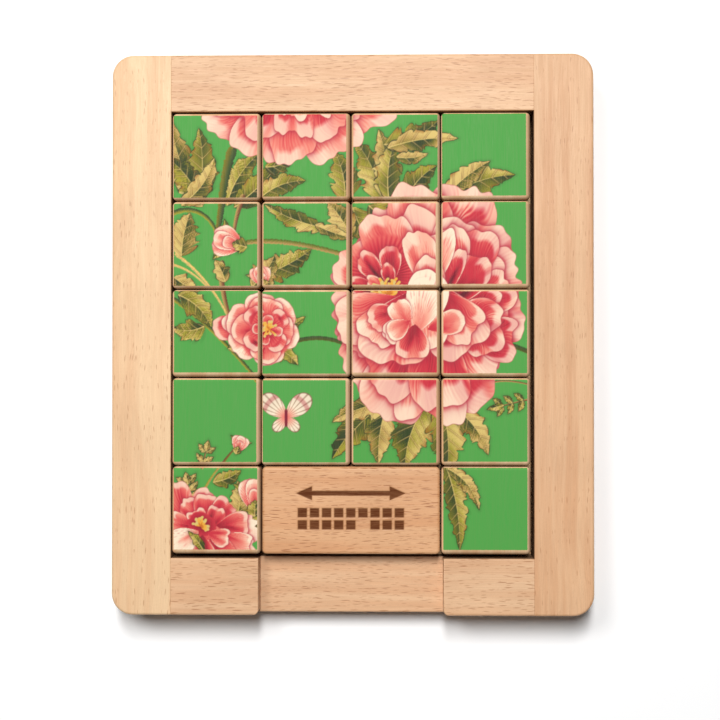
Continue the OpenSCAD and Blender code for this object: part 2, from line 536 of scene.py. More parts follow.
def flared(outline, low, rim, flare, steps=6):
    """A cutter that leaves its hole's upper edge rounded. It stands a little above the rim."""
    turns = [math.radians(90 * i / steps) for i in range(steps + 1)]
    rings = [(0.0, low)]
    rings += [(flare * (1 - math.cos(t)), rim - flare * (1 - math.sin(t))) for t in turns]
    rings += [(flare, rim + MM)]
    return stack([(inset(outline, -off), height) for off, height in rings])


def settle(holder):
    """The mesh that an object's modifiers make, with the object gone."""
    bpy.context.view_layer.update()
    seen = holder.evaluated_get(bpy.context.evaluated_depsgraph_get())
    mesh = bpy.data.meshes.new_from_object(seen)
    bpy.data.objects.remove(holder)
    return mesh


def hold(mesh):
    holder = bpy.data.objects.new("holder", mesh)
    bpy.context.scene.collection.objects.link(holder)
    return holder


def combine(mesh, *tools, operation="DIFFERENCE"):
    """Takes each tool out of the mesh, or keeps what they share. It works in millimetres."""
    mesh.transform(Matrix.Scale(1 / MM, 4))
    for tool in tools:
        tool.transform(Matrix.Scale(1 / MM, 4))
        holder = hold(mesh)
        cutter = hold(tool)
        step = holder.modifiers.new("cut", "BOOLEAN")
        step.operation = operation
        step.solver = "EXACT"
        step.object = cutter
        mesh = settle(holder)
        bpy.data.objects.remove(cutter)
    mesh.transform(Matrix.Scale(MM, 4))
    return mesh


def smooth_shaded(mesh):
    """Smooth shading that leaves sharp edges sharp and large faces flat."""
    mesh.shade_smooth()
    mesh.set_sharp_from_angle(angle=math.radians(35))
    holder = hold(mesh)
    step = holder.modifiers.new("normals", "WEIGHTED_NORMAL")
    step.keep_sharp = True
    step.weight = 90
    return settle(holder)


def rounded_stops(half, edge, step, rings):
    """Places of mesh lines along one axis: even on the flat, closer where the edge turns down."""
    flat = half - edge
    count = max(2, round(2 * flat / step))
    inner = np.linspace(-flat, flat, count + 1)
    turn = np.sin(np.linspace(0, math.pi / 2, rings + 1)[1:]) * edge
    return np.concatenate([-(flat + turn[::-1]), inner, flat + turn])


def loaf(low, high, corner, edge, step, rings=6):
    """A block with round corners and eased edges, as vertices and faces.

    Its top is a fine grid, ready to be painted or pressed. Below it come one loop for the wall,
    a few for the lower edge, and a flat cap.
    """
    centre = (np.array(low) + np.array(high)) / 2
    half_w, half_l, height = (high[0] - low[0]) / 2, (high[1] - low[1]) / 2, high[2] - low[2]
    xs = rounded_stops(half_w, edge, step, rings)
    ys = rounded_stops(half_l, edge, step, rings)
    x, y = np.meshgrid(xs, ys)
    core_x = np.clip(x, -(half_w - corner), half_w - corner)
    core_y = np.clip(y, -(half_l - corner), half_l - corner)
    off_x, off_y = x - core_x, y - core_y
    reach = np.maximum(np.abs(off_x), np.abs(off_y))
    span = np.maximum(np.hypot(off_x, off_y), 1e-12)
    unit_x, unit_y = off_x / span, off_y / span
    over = np.clip(reach - (corner - edge), 0, edge)
    z = -(edge - np.sqrt(np.maximum(edge**2 - over**2, 0)))
    top = np.stack([core_x + unit_x * reach, core_y + unit_y * reach, z + height], -1)
    rows, columns = x.shape
    number = np.arange(rows * columns).reshape(rows, columns)
    faces = np.stack(
        [number[:-1, :-1], number[:-1, 1:], number[1:, 1:], number[1:, :-1]], -1
    ).reshape(-1, 4)
    rim = np.concatenate([number[0, :-1], number[:-1, -1], number[-1, :0:-1], number[:0:-1, 0]])
    flat = (core_x.ravel()[rim], core_y.ravel()[rim], unit_x.ravel()[rim], unit_y.ravel()[rim])
    loops = [rim]
    points = [top.reshape(-1, 3)]
    start = rows * columns
    for turn in np.linspace(0, math.pi / 2, 4):
        radius = corner - edge + edge * math.cos(turn)
        ring = np.stack([flat[0] + flat[2] * radius, flat[1] + flat[3] * radius], -1)
        ring = np.column_stack([ring, np.full(len(rim), edge * (1 - math.sin(turn)))])
        points.append(ring)
        loops.append(np.arange(start, start + len(rim)))
        start += len(rim)
    walls = [
        np.stack([a, b, np.roll(b, -1), np.roll(a, -1)], -1) for a, b in zip(loops[:-1], loops[1:])
    ]
    points = np.concatenate(points)
    points += np.array([centre[0], centre[1], low[2]])
    faces = faces.tolist() + np.concatenate(walls).tolist() + [loops[-1][::-1].tolist()]
    return points, faces, rows * columns


# --- The picture --------------------------------------------------------------------------------
#
# It is painted once, in memory, on one sheet that is then cut into tiles. Places are in tiles:
# across from the left, and down from the top. Lengths are in millimetres, and there are DOTS dots
# to one of them. The printed ink is darker than the paint by the factor INK_DEPTH.

DOTS = 8
INK_DEPTH = 0.86


def shade(text):
    """A hex colour as painted values from 0 to 1."""
    return np.array([int(text[i : i + 2], 16) / 255 for i in (0, 2, 4)])


CREAM = shade("ffebcd")
PALE = shade("fcb59b")
PINK = shade("f18574")
CORAL = shade("e65e59")
ROSE = shade("d03041")
CRIMSON = shade("a51f33")
MAROON = shade("651526")
GOLD = shade("f2ae3e")
AMBER = shade("cf7424")
LIME = shade("aaa032")
OLIVE = shade("837c26")
MOSS = shade("545c1e")
PINE = shade("2f4020")
STRAW = shade("e0c474")
TAN = shade("c49c58")
BARK = shade("5d3722")


def ramp(stops, value):
    """The colour along evenly spaced stops, for values from 0 to 1."""
    stops = np.array(stops)
    place = np.clip(value, 0, 1) * (len(stops) - 1)
    low = np.minimum(place.astype(int), len(stops) - 2)
    part = (place - low)[..., None]
    return stops[low] * (1 - part) + stops[low + 1] * part


def soft(value, width):
    return np.clip(value / width + 0.5, 0, 1)


def tint(colours, towards, part):
    return colours + (towards - colours) * np.asarray(part)[..., None]


class Wave:
    """A smooth, repeatable wiggle of one variable, made of a few sines."""

    def __init__(self, chance, low, high, count=5):
        self.pace = chance.uniform(low, high, count)
        self.start = chance.uniform(0, 2 * math.pi, count)

    def __call__(self, value):
        total = sum(np.sin(pace * value + start) for pace, start in zip(self.pace, self.start))
        return total / len(self.pace) ** 0.5


class Sheet:
    """The painted sheet, with a record of where flowers lie so that petals shade only petals."""

    def __init__(self, cell, ground, seed=7):
        self.cell = np.array(cell)
        self.size = (round(ROWS * cell[1] * DOTS), round(COLUMNS * cell[0] * DOTS))
        self.colour = np.ones(self.size + (3,)) * ground
        self.bloom = np.zeros(self.size)
        self.chance = np.random.default_rng(seed)

    def mm(self, place):
        return np.array(place, float) * self.cell

    def window(self, points, margin):
        """The part of the sheet round some points, and each of its dots' place."""
        points = np.atleast_2d(points)
        low = np.floor((points.min(0) - margin) * DOTS).astype(int)
        high = np.ceil((points.max(0) + margin) * DOTS).astype(int)
        left, top = np.maximum(low, 0)
        right, bottom = max(min(high[0], self.size[1]), left), max(min(high[1], self.size[0]), top)
        down, across = np.mgrid[top:bottom, left:right]
        return (slice(top, bottom), slice(left, right)), (across + 0.5) / DOTS, (down + 0.5) / DOTS

    def lay(self, where, cover, colour):
        self.colour[where] = tint(self.colour[where], colour, np.clip(cover, 0, 1))


def curve(points, steps=22):
    """Evenly stepped points on a Bezier curve."""
    t = np.linspace(0, 1, steps)[:, None]
    lines = [np.ones((steps, 1)) * np.array(point, float) for point in points]
    while len(lines) > 1:
        lines = [a * (1 - t) + b * t for a, b in zip(lines[:-1], lines[1:])]
    return lines[0]


def follow(line, x, y):
    """How far along a line each place lies, from 0 to 1, and its distance to one side."""
    steps = np.hypot(*np.diff(line, axis=0).T)
    gone = 0.0
    best = np.full(x.shape, 1e9)
    along, aside = np.zeros(x.shape), np.zeros(x.shape)
    for (ax, ay), (bx, by), step in zip(line[:-1], line[1:], steps):
        dx, dy = (bx - ax) / step, (by - ay) / step
        px, py = x - ax, y - ay
        run = np.clip(px * dx + py * dy, 0, step)
        away = np.hypot(px - run * dx, py - run * dy)
        near = away < best
        best = np.where(near, away, best)
        along = np.where(near, (gone + run) / steps.sum(), along)
        aside = np.where(near, np.sign(px * dy - py * dx) * away, aside)
        gone += step
    return along, aside


def stem(sheet, places, width, light=TAN, dark=BARK, end=0.6):
    """A twig: light on one side, dark on the other, thinner towards its end."""
    line = curve([sheet.mm(place) for place in places])
    where, x, y = sheet.window(line, width)
    along, aside = follow(line, x, y)
    knots = Wave(sheet.chance, 6, 40)
    half = width / 2 * (1 - (1 - end) * along) * (1 + 0.12 * knots(along * 6))
    tone = 0.5 + 0.55 * aside / half + 0.15 * knots(along * 9 + aside * 5)
    sheet.lay(where, soft(half - np.abs(aside), 0.16), ramp([light, light * 0.85, dark * 1.4, dark], tone))


def leaf(sheet, base, tip, bend, width, stops, lobes=5, teeth=0.3, vein=STRAW):
    """A leaf on a bent midrib. Its edge is cut into lobes, and its veins run out to them."""
    base, tip = sheet.mm(base), sheet.mm(tip)
    run = tip - base
    length = np.hypot(*run)
    normal = np.array([-run[1], run[0]])
    line = curve([base, base + run * 0.5 + normal * bend, tip], 18)
    where, x, y = sheet.window(line, width * 1.3)
    along, aside = follow(line, x, y)
    wiggle, slow = Wave(sheet.chance, 8, 30), Wave(sheet.chance, 2, 6)
    side = np.sign(aside)
    sweep = along - np.abs(aside) / length * 0.9
    ragged = slow(sweep * lobes + side * 2)
    saw = (sweep * lobes + 0.25 * side + 0.1 * ragged) % 1.0
    profile = np.sin(math.pi * np.clip(along, 0, 1) ** 0.75) ** 0.85
    notch = teeth * saw**1.5 * (1 - along * 0.4) + 0.12 * ragged
    half = width * profile * (1 - notch) + 0.05
    inside = half - np.abs(aside)
    sheet.lay(where, soft(inside + 0.5, 1.0) * 0.16, PINE)
    across = np.clip(np.abs(aside) / np.maximum(half, 0.05), 0, 1)
    streak = wiggle(sweep * lobes * 4 + side * 3) * 0.14 + wiggle(along * 31 + aside * 3) * 0.08
    turned = 0.22 * slow(along * 2 + side)
    colour = ramp(stops, 0.52 + 0.26 * side + 0.4 * (across - 0.5) + streak * 1.4 + turned)
    dry = soft(across - 0.78, 0.3) * soft(slow(sweep * 4 + side) - 0.3, 0.6)
    colour = tint(colour, AMBER * 0.7, dry * 0.6)
    ribs = np.abs(((sweep * lobes) % 1.0) - 0.12) * length / lobes
    colour = tint(colour, vein, soft(0.16 - ribs, 0.2) * (1 - across) ** 0.4 * 0.7)
    colour = tint(colour, BARK, soft(0.14 - np.abs(ribs - 0.3), 0.2) * (1 - across) ** 0.4 * 0.5)
    colour = tint(colour, vein, soft(0.17 * (1.1 - along) - np.abs(aside), 0.15) * 0.9)
    colour = tint(colour, PINE * 0.7, soft(0.19 - inside, 0.16) * 0.85)
    sheet.lay(where, soft(inside, 0.16), colour)


def petal(sheet, base, aim, length, spread, stops, ruffle=0.07, fold=0.0, lip=0.86, streak=0.15,
          square=3.0, shadow=0.8, curl=0.0, drawn=0.6):
    """A petal that fans out from its base towards aim, in degrees, and ends in a ruffled lip."""
    chance = sheet.chance
    base = sheet.mm(base)
    spread, aim = math.radians(spread), math.radians(aim)
    edge_wave = Wave(chance, 2.5 / spread, 8 / spread)
    fine_wave = Wave(chance, 12 / spread, 26 / spread)
    hatch_wave = Wave(chance, 50 / spread, 110 / spread, 7)
    fold_wave = Wave(chance, 5 / spread, 12 / spread, 4)
    reach = length * (1 + ruffle * 2.4)
    where, x, y = sheet.window(base + np.array([[-reach, -reach], [reach, reach]]), 0.5)
    if x.size == 0:
        return
    x, y = x - base[0], y - base[1]
    away = np.hypot(x, y)
    turn = np.arctan2(y, x) - aim + math.pi + curl * away / length
    turn = turn % (2 * math.pi) - math.pi
    part = np.clip(np.abs(turn) / spread, 0, 1)
    rim = length * (1 - part**square) * (1 + ruffle * edge_wave(turn))
    rim = rim + length * ruffle * 0.3 * fine_wave(turn) * (1 - part)
    inside = np.where(np.abs(turn) < spread, rim - away, -9.0)
    near = np.exp(-np.clip(-inside, 0, 9) / (0.036 * length)) * (np.abs(turn) < spread * 1.04)
    sheet.lay(where, near * shadow * sheet.bloom[where], CRIMSON + 0.05)
    rho = np.clip(away / np.maximum(rim, 0.1), 0, 1)
    crease = np.exp(-(((turn / spread - fold) / 0.16) ** 2)) * np.clip(1.15 - rho, 0, 1)
    hatch = hatch_wave(turn + 0.06 * fold_wave(rho * spread)) * streak * (0.3 + 2.4 * rho * (1 - rho))
    etched = soft(hatch_wave(turn * 0.7 + 1) - 0.7, 0.5) * soft(fold_wave(rho * spread * 3 + turn), 0.8)
    tone = rho**1.1 + hatch + 0.16 * fold_wave(turn) * rho - 0.5 * crease * (fold != 0)
    tone = tone + chance.uniform(-0.22, 0.02)
    colour = ramp(stops, tone)
    turned = soft(rho - lip, 0.06) * soft(edge_wave(turn * 1.3) + 0.4, 0.8)
    colour = tint(colour, ROSE, etched * 0.3 * soft(0.96 - rho, 0.2))
    colour = tint(colour, CREAM, turned * 0.7)
    colour = tint(colour, CRIMSON, soft(0.13 - np.abs(rho - lip + 0.03) * length * 0.5, 0.15) * turned * 0.4)
    colour = tint(colour, CRIMSON, soft(0.13 - inside, 0.14) * drawn)
    cover = soft(inside, 0.15)
    sheet.lay(where, cover, colour)
    sheet.bloom[where] = np.maximum(sheet.bloom[where], cover)


def ring(sheet, centre, count, length, spread, stops, start=0, offset=0.08, jitter=7, **more):
    """Petals all round a centre."""
    chance = sheet.chance
    for i in range(count):
        aim = start + 360 * i / count + chance.uniform(-jitter, jitter)
        out = offset * length / sheet.cell
        way = np.array([math.cos(math.radians(aim)), math.sin(math.radians(aim))])
        reach, width = length * chance.uniform(0.92, 1.08), spread * chance.uniform(0.9, 1.1)
        fold = chance.uniform(-0.5, 0.5)
        petal(sheet, np.array(centre) + out * way, aim, reach, width, stops, fold=fold, **more)


def hollow(sheet, centre, wide, tall, stops, turn=0.0):
    """The shaded inside of a flower."""
    middle = sheet.mm(centre)
    where, x, y = sheet.window(middle, max(wide, tall) * 1.2)
    x, y = x - middle[0], y - middle[1]
    turn = math.radians(turn)
    across, down = x * math.cos(turn) + y * math.sin(turn), y * math.cos(turn) - x * math.sin(turn)
    away = np.hypot(across / wide, down / tall)
    angle = np.arctan2(down, across)
    away = away * (1 + 0.06 * Wave(sheet.chance, 2, 7)(angle))
    hatch = Wave(sheet.chance, 30, 60)(angle) * 0.1
    sheet.lay(where, soft(1 - away, 0.1), ramp(stops, away + hatch))


def stamens(sheet, centre, radius, count=26, start=0, sweep=360):
    """A tuft of gold threads with bright tips."""
    chance = sheet.chance
    middle = sheet.mm(centre)
    for _ in range(count):
        aim = math.radians(start + chance.uniform(-sweep / 2, sweep / 2))
        reach = radius * chance.uniform(0.45, 1.0)
        tip = middle + reach * np.array([math.cos(aim), math.sin(aim)])
        bow = (middle + tip) / 2 + chance.uniform(-0.3, 0.3, 2) * radius
        line = curve([middle, bow, tip], 8)
        where, x, y = sheet.window(line, 0.6)
        along, aside = follow(line, x, y)
        colour = ramp([AMBER, AMBER, GOLD, GOLD, STRAW], along + chance.uniform(-0.2, 0.3))
        sheet.lay(where, soft(0.2 + 0.22 * along**4 - np.abs(aside), 0.15), colour)


BLUSH = [CRIMSON, ROSE, CORAL, PINK, PALE]
DEEP = [MAROON, CRIMSON, ROSE, CORAL, PINK]
RICH = [MAROON, CRIMSON, ROSE, ROSE, CORAL, PALE]
WARM = [ROSE, CORAL, PINK, PALE, CREAM]
SHELL = [PINK, PALE, CREAM, CREAM, CREAM]
FRESH = [PINE, MOSS, OLIVE, LIME, STRAW]
SHADY = [PINE, PINE, MOSS, OLIVE, LIME]
DRY = [PINE, OLIVE, TAN, STRAW, STRAW]


def petals(sheet, rows, **more):
    """Petals one over the other, each from its own base, aim, length, spread and colours."""
    for place, aim, length, spread, stops in rows:
        fold = sheet.chance.uniform(-0.5, 0.5)
        petal(sheet, place, aim, length, spread, stops, fold=fold, **more)


def top_flower(sheet):
    """The flower that the upper edge cuts off: its skirt hangs into the first three tiles."""
    for aim, length in ((172, 31), (4, 30), (146, 29), (30, 30), (118, 28), (60, 29), (90, 26)):
        petal(sheet, (1.36, -0.44), aim, length, 30, BLUSH, ruffle=0.07, square=5)
    for aim, length in ((158, 24), (20, 25), (126, 22), (52, 23), (90, 19)):
        petal(sheet, (1.36, -0.46), aim, length, 32, DEEP, ruffle=0.08, lip=0.78, square=5)
    for aim, length in ((140, 17), (36, 18), (90, 14)):
        petal(sheet, (1.38, -0.46), aim, length, 32, BLUSH, ruffle=0.08, square=4)


def big_peony(sheet):
    """The large flower of the middle: a skirt, folds on the right, and pale petals in front."""
    for aim, length in (
        (-158, 29), (-118, 32), (-70, 37), (-96, 35), (-46, 31), (-22, 28.5), (8, 28), (176, 29),
        (38, 27), (142, 31), (66, 33), (114, 36), (90, 35),
    ):
        stops = RICH if abs(aim) < 72 else BLUSH
        petal(sheet, (2.88, 2.2), aim, length, 29, stops, ruffle=0.06, square=5)
    for aim, length in (
        (-136, 27), (-104, 28), (-62, 27), (-20, 25), (160, 27), (18, 25), (50, 26), (126, 29),
        (84, 29),
    ):
        stops = RICH if abs(aim) < 90 else DEEP
        petal(sheet, (2.88, 2.2), aim, length, 33, stops, ruffle=0.07, lip=0.78, square=5)
    petals(
        sheet,
        (
            ((3.3, 2.3), -36, 16, 40, RICH),
            ((3.24, 2.42), 20, 17, 44, RICH),
            ((3.2, 2.1), -70, 21, 34, RICH),
            ((3.2, 2.3), -34, 13, 40, RICH),
            ((3.06, 2.2), -88, 23, 30, RICH),
            ((3.1, 2.3), 34, 17, 40, RICH),
            ((3.02, 2.25), -52, 20, 30, RICH),
            ((3.02, 2.35), -8, 17, 38, RICH),
            ((2.98, 2.2), -76, 17, 28, RICH),
            ((2.6, 2.0), -152, 22, 38, BLUSH),
            ((2.66, 2.0), -114, 24, 38, BLUSH),
            ((2.84, 2.1), -82, 20, 34, WARM),
        ),
        square=4,
        ruffle=0.06,
    )
    hollow(sheet, (2.36, 1.86), 10.5, 12.5, [MAROON, CRIMSON, CRIMSON, ROSE, CORAL], 20)
    petals(
        sheet,
        (
            ((2.36, 2.04), -164, 11, 30, DEEP),
            ((2.38, 1.95), -128, 12, 34, DEEP),
            ((2.46, 1.95), -92, 12, 34, DEEP),
            ((2.4, 2.02), -146, 7, 34, BLUSH),
            ((2.46, 2.0), -102, 8, 34, DEEP),
        ),
    )
    stamens(sheet, (2.42, 2.06), 5.4, 44, start=-120, sweep=200)
    petals(
        sheet,
        (
            ((2.6, 2.1), 156, 21, 38, BLUSH),
            ((2.9, 1.9), 64, 24, 40, RICH),
            ((2.72, 2.0), 112, 24, 48, RICH),
            ((2.6, 2.2), 142, 15, 44, WARM),
            ((2.98, 2.0), 58, 17, 44, BLUSH),
            ((2.78, 2.0), 98, 18.5, 56, WARM),
            ((2.56, 2.25), 164, 10, 46, BLUSH),
            ((2.62, 2.3), 124, 9, 46, WARM),
        ),
        square=5,
        ruffle=0.06,
        lip=0.8,
    )
    petal(sheet, (2.92, 2.1), -104, 21, 30, [ROSE, CORAL, PINK, PALE, PALE], 0.05, -0.3, 0.8)
    petal(sheet, (2.84, 2.2), -84, 14, 44, BLUSH, 0.05, 0.2, 0.8)
    petal(sheet, (2.74, 2.5), -76, 19, 44, SHELL, 0.03, 0, 0.9, square=2.6, streak=0.1)
    petal(sheet, (2.66, 2.46), -118, 10, 44, WARM, 0.05)
    petal(sheet, (2.86, 2.46), -20, 11, 44, WARM, 0.05, 0.3)
    petal(sheet, (2.72, 2.4), 96, 11, 60, BLUSH, 0.06, 0.2, 0.8)
    petal(sheet, (2.66, 2.36), 146, 8, 50, WARM, 0.05)


def side_rose(sheet):
    """The small open rose on the left, with its sepals and stalk."""
    leaf(sheet, (0.98, 2.55), (1.5, 2.3), 0.1, 3.2, FRESH, 4)
    leaf(sheet, (1.0, 2.6), (1.42, 2.86), -0.2, 3.4, FRESH, 4)
    leaf(sheet, (0.9, 2.7), (0.62, 2.68), 0.2, 3.0, DRY, 3)
    stem(sheet, [(1.4, 2.58), (1.7, 2.5), (1.95, 2.62)], 1.3, MOSS, PINE, 0.9)
    petal(sheet, (0.9, 2.42), 176, 11.5, 42, DEEP, ruffle=0.06)
    petal(sheet, (0.9, 2.5), 205, 10, 34, WARM, ruffle=0.06)
    ring(sheet, (1.04, 2.46), 6, 10.5, 50, WARM, start=20, ruffle=0.03, square=4)
    hollow(sheet, (1.05, 2.46), 8.0, 8.6, [MAROON, CRIMSON, ROSE, CORAL])
    ring(sheet, (1.05, 2.46), 4, 8.6, 58, BLUSH, start=5, ruffle=0.04, square=5)
    ring(sheet, (1.06, 2.46), 4, 7.4, 58, DEEP, start=50, ruffle=0.03, lip=0.75)
    hollow(sheet, (1.06, 2.45), 4.6, 5.4, [MAROON, CRIMSON, ROSE, CORAL])
    ring(sheet, (1.07, 2.46), 4, 4.2, 46, BLUSH, start=10, ruffle=0.03)
    stamens(sheet, (1.09, 2.45), 2.6, 20)


def bud(sheet, centre, radius, aim, stops=WARM, sepal=FRESH):
    """A closed bud that points towards aim, held by sepals."""
    middle = np.array(centre, float)
    way = np.array([math.cos(math.radians(aim)), math.sin(math.radians(aim))])
    foot = middle - way * radius / sheet.cell
    for side in (-1, 1):
        lean = math.radians(aim + side * 38)
        tip = foot + np.array([math.cos(lean), math.sin(lean)]) * 2.1 * radius / sheet.cell
        leaf(sheet, foot, tip, -0.28 * side, radius * 0.42, sepal, 3)
    for side in (-1, 1, 0):
        petal(sheet, foot, aim + side * 17, radius * 2.0, 34, stops, ruffle=0.03, streak=0.25)
    petal(sheet, foot + way * 0.3 * radius / sheet.cell, aim, radius * 1.1, 44, stops, ruffle=0.03)
    leaf(sheet, foot - way * 0.15 * radius / sheet.cell, foot + way * 0.8 * radius / sheet.cell, 0.0,
         radius * 0.5, sepal, 3)


def sprig(sheet, base, tip, size, stops, count=4):
    """A twiglet with small leaves on both sides and one at its tip."""
    base, tip = np.array(base, float), np.array(tip, float)
    run = tip - base
    stem(sheet, [base, tip], 0.6)
    for i in range(count):
        place = base + run * (i + 0.6) / (count + 0.4)
        for side in (-1, 1):
            way = run * sheet.cell / np.hypot(*(run * sheet.cell))
            lean = math.radians(52 * side)
            turned = np.array([
                way[0] * math.cos(lean) - way[1] * math.sin(lean),
                way[0] * math.sin(lean) + way[1] * math.cos(lean),
            ])
            leaf(sheet, place, place + turned * size / sheet.cell, 0.1 * side, size * 0.3, stops, 3)
    leaf(sheet, base + run * 0.7, tip + run * 0.2, 0.0, size * 0.34, stops, 3)


def butterfly(sheet, centre, span):
    """Two pairs of pale wings with dark veins, and a slim body."""
    middle = sheet.mm(centre)
    where, x, y = sheet.window(middle, span * 0.7)
    x, y = (x - middle[0]) / span, (y - middle[1]) / span
    angle = np.degrees(np.arctan2(-y, np.abs(x)))
    away = np.hypot(x, y)
    upper = 0.66 * np.clip(np.cos(np.radians(angle - 42) * 1.7), 0, 1) ** 1.1
    lower = 0.38 * np.clip(np.cos(np.radians(angle + 48) * 1.8), 0, 1) ** 0.9
    inside = np.maximum(upper, lower) - away
    colour = ramp([CORAL, PALE, CREAM, CREAM * 0.96], away * 2.6)
    veins = soft(0.13 - np.abs(((angle + 90) / 13) % 1 - 0.5), 0.12) * soft(away - 0.1, 0.1)
    colour = tint(colour, BARK, veins * 0.4)
    colour = tint(colour, BARK, soft(0.022 - inside, 0.02) * 0.7)
    band = soft(0.045 - np.abs(away - 0.46), 0.03) * soft(upper - lower, 0.1)
    colour = tint(colour, ROSE * 0.8, band * 0.35)
    sheet.lay(where, soft(inside, 0.015), colour)
    body = np.maximum(np.abs(x) / 0.03, np.abs(y - 0.02) / 0.17)
    sheet.lay(where, soft(1 - body, 0.3), MAROON * 1.3)


def leaves(sheet, rows):
    """Leaves one over the other, each from its base, tip, bend, width, colours and lobes."""
    for row in rows:
        leaf(sheet, *row)


def background_leaves(sheet):
    """Leaves and twigs that lie under the flowers."""
    rows = (
        ((0.34, 1.05), (-0.02, 0.06), -0.12, 5.0, DRY, 7),
        ((0.3, 1.02), (0.3, 0.16), 0.1, 4.6, FRESH, 7),
        ((0.32, 1.02), (-0.06, 0.5), 0.16, 4.2, SHADY, 6),
        ((0.1, 1.04), (0.48, 0.5), 0.2, 3.4, DRY, 5),
        ((0.62, 1.04), (0.98, 0.46), -0.16, 4.4, FRESH, 6),
        ((0.7, 1.06), (1.24, 0.5), 0.12, 4.2, SHADY, 6),
        ((0.98, 0.98), (1.5, 0.78), -0.2, 3.6, FRESH, 5),
        ((1.04, 0.62), (1.34, 0.52), 0.2, 3.0, SHADY, 4),
        ((1.94, 1.02), (1.82, 0.44), 0.14, 4.4, FRESH, 6),
        ((2.36, 1.04), (2.04, 0.32), 0.12, 5.2, FRESH, 6),
        ((2.4, 1.02), (2.3, 0.18), 0.1, 4.6, DRY, 6),
        ((2.42, 1.0), (2.5, 0.28), -0.14, 4.0, FRESH, 6),
        ((2.36, 0.36), (2.98, 0.08), 0.18, 4.2, SHADY, 6),
        ((2.4, 0.4), (3.2, 0.3), -0.12, 3.4, DRY, 6),
        ((2.5, 0.5), (2.86, 0.46), 0.16, 2.2, DRY, 4),
        ((2.6, 1.04), (2.96, 0.6), -0.2, 4.2, SHADY, 5),
        ((3.04, 1.0), (3.84, 0.72), -0.16, 4.6, FRESH, 6),
        ((3.04, 0.98), (3.56, 0.56), -0.1, 3.6, DRY, 5),
        ((2.02, 1.06), (2.28, 1.48), 0.16, 4.6, FRESH, 5),
        ((2.2, 1.04), (2.6, 1.3), 0.1, 4.0, SHADY, 5),
    )
    leaves(sheet, rows)


def left_twigs(sheet):
    """The forked twigs that carry the side rose and its buds."""
    stem(sheet, [(0.68, 0.42), (0.58, 0.7), (0.56, 1.1), (0.5, 1.42)], 3.0, OLIVE, PINE, 0.5)
    stem(sheet, [(0.8, 0.95), (0.72, 1.15), (0.7, 1.34)], 1.6, TAN, BARK)
    stem(sheet, [(0.02, 1.12), (0.3, 1.0), (0.5, 1.24), (0.5, 1.4)], 1.6, LIME, PINE)
    stem(sheet, [(0.86, 1.46), (1.2, 1.42), (1.6, 1.5), (2.1, 1.66)], 1.5, TAN, MOSS, 0.9)
    stem(sheet, [(0.04, 1.6), (0.3, 1.78), (0.5, 2.05), (0.62, 2.3)], 1.0, STRAW, TAN)
    stem(sheet, [(0.0, 1.72), (0.2, 1.76), (0.4, 1.98)], 0.8, STRAW, TAN)
    stem(sheet, [(0.56, 1.7), (0.54, 2.0), (0.64, 2.3)], 1.9, TAN, BARK)
    stem(sheet, [(0.0, 2.1), (0.34, 2.34), (0.6, 2.6), (0.98, 3.06)], 1.4, LIME, PINE, 0.7)
    rows = (
        ((0.02, 1.86), (0.3, 2.02), 0.1, 3.0, DRY, 3),
        ((0.1, 1.62), (0.2, 1.12), -0.08, 5.4, DRY, 5, 0.5),
        ((0.06, 2.06), (0.44, 2.44), -0.22, 3.8, FRESH, 5),
        ((0.36, 2.42), (0.0, 2.44), -0.24, 3.6, FRESH, 5),
        ((1.7, 1.3), (1.02, 1.02), -0.1, 3.0, FRESH, 6),
        ((2.0, 1.4), (1.74, 1.0), 0.1, 4.2, DRY, 6),
        ((1.6, 1.26), (2.04, 1.42), 0.06, 2.2, DRY, 4),
        ((0.98, 1.84), (1.56, 1.54), 0.1, 4.2, FRESH, 6),
        ((0.9, 1.98), (1.14, 1.62), 0.1, 4.0, DRY, 5),
        ((0.6, 1.92), (0.48, 1.66), 0.1, 2.6, DRY, 3),
    )
    leaves(sheet, rows)


def lower_leaves(sheet):
    """Leaves below the big flower, the long one of the last row, and sprigs."""
    rows = (
        ((2.5, 3.2), (1.8, 3.92), 0.14, 5.4, SHADY, 7),
        ((2.4, 3.3), (2.3, 3.98), 0.1, 4.4, DRY, 6),
        ((2.6, 3.3), (1.8, 3.5), 0.2, 4.2, DRY, 6),
        ((2.84, 3.3), (2.6, 4.02), 0.16, 6.4, FRESH, 6),
        ((3.0, 3.3), (3.06, 4.06), -0.1, 5.8, FRESH, 6),
        ((3.08, 3.3), (3.52, 3.88), -0.2, 4.0, DRY, 6),
        ((3.04, 3.98), (3.2, 4.96), -0.1, 3.4, FRESH, 9),
        ((3.06, 4.02), (3.42, 4.5), -0.24, 2.4, DRY, 7),
    )
    leaves(sheet, rows)
    stem(sheet, [(3.36, 3.14), (3.6, 2.96), (4.0, 3.08)], 0.7, TAN, BARK)
    stem(sheet, [(3.7, 2.6), (3.85, 2.66), (4.0, 2.72)], 1.4, MOSS, PINE, 1)
    sprig(sheet, (3.98, 3.24), (3.58, 3.34), 3.6, FRESH, 3)
    sprig(sheet, (0.34, 4.02), (0.4, 3.76), 3.4, DRY, 2)
    stem(sheet, [(0.56, 4.0), (0.62, 3.9), (0.7, 3.82)], 0.9, OLIVE, BARK)
    bud(sheet, (0.76, 3.76), 2.7, -70)


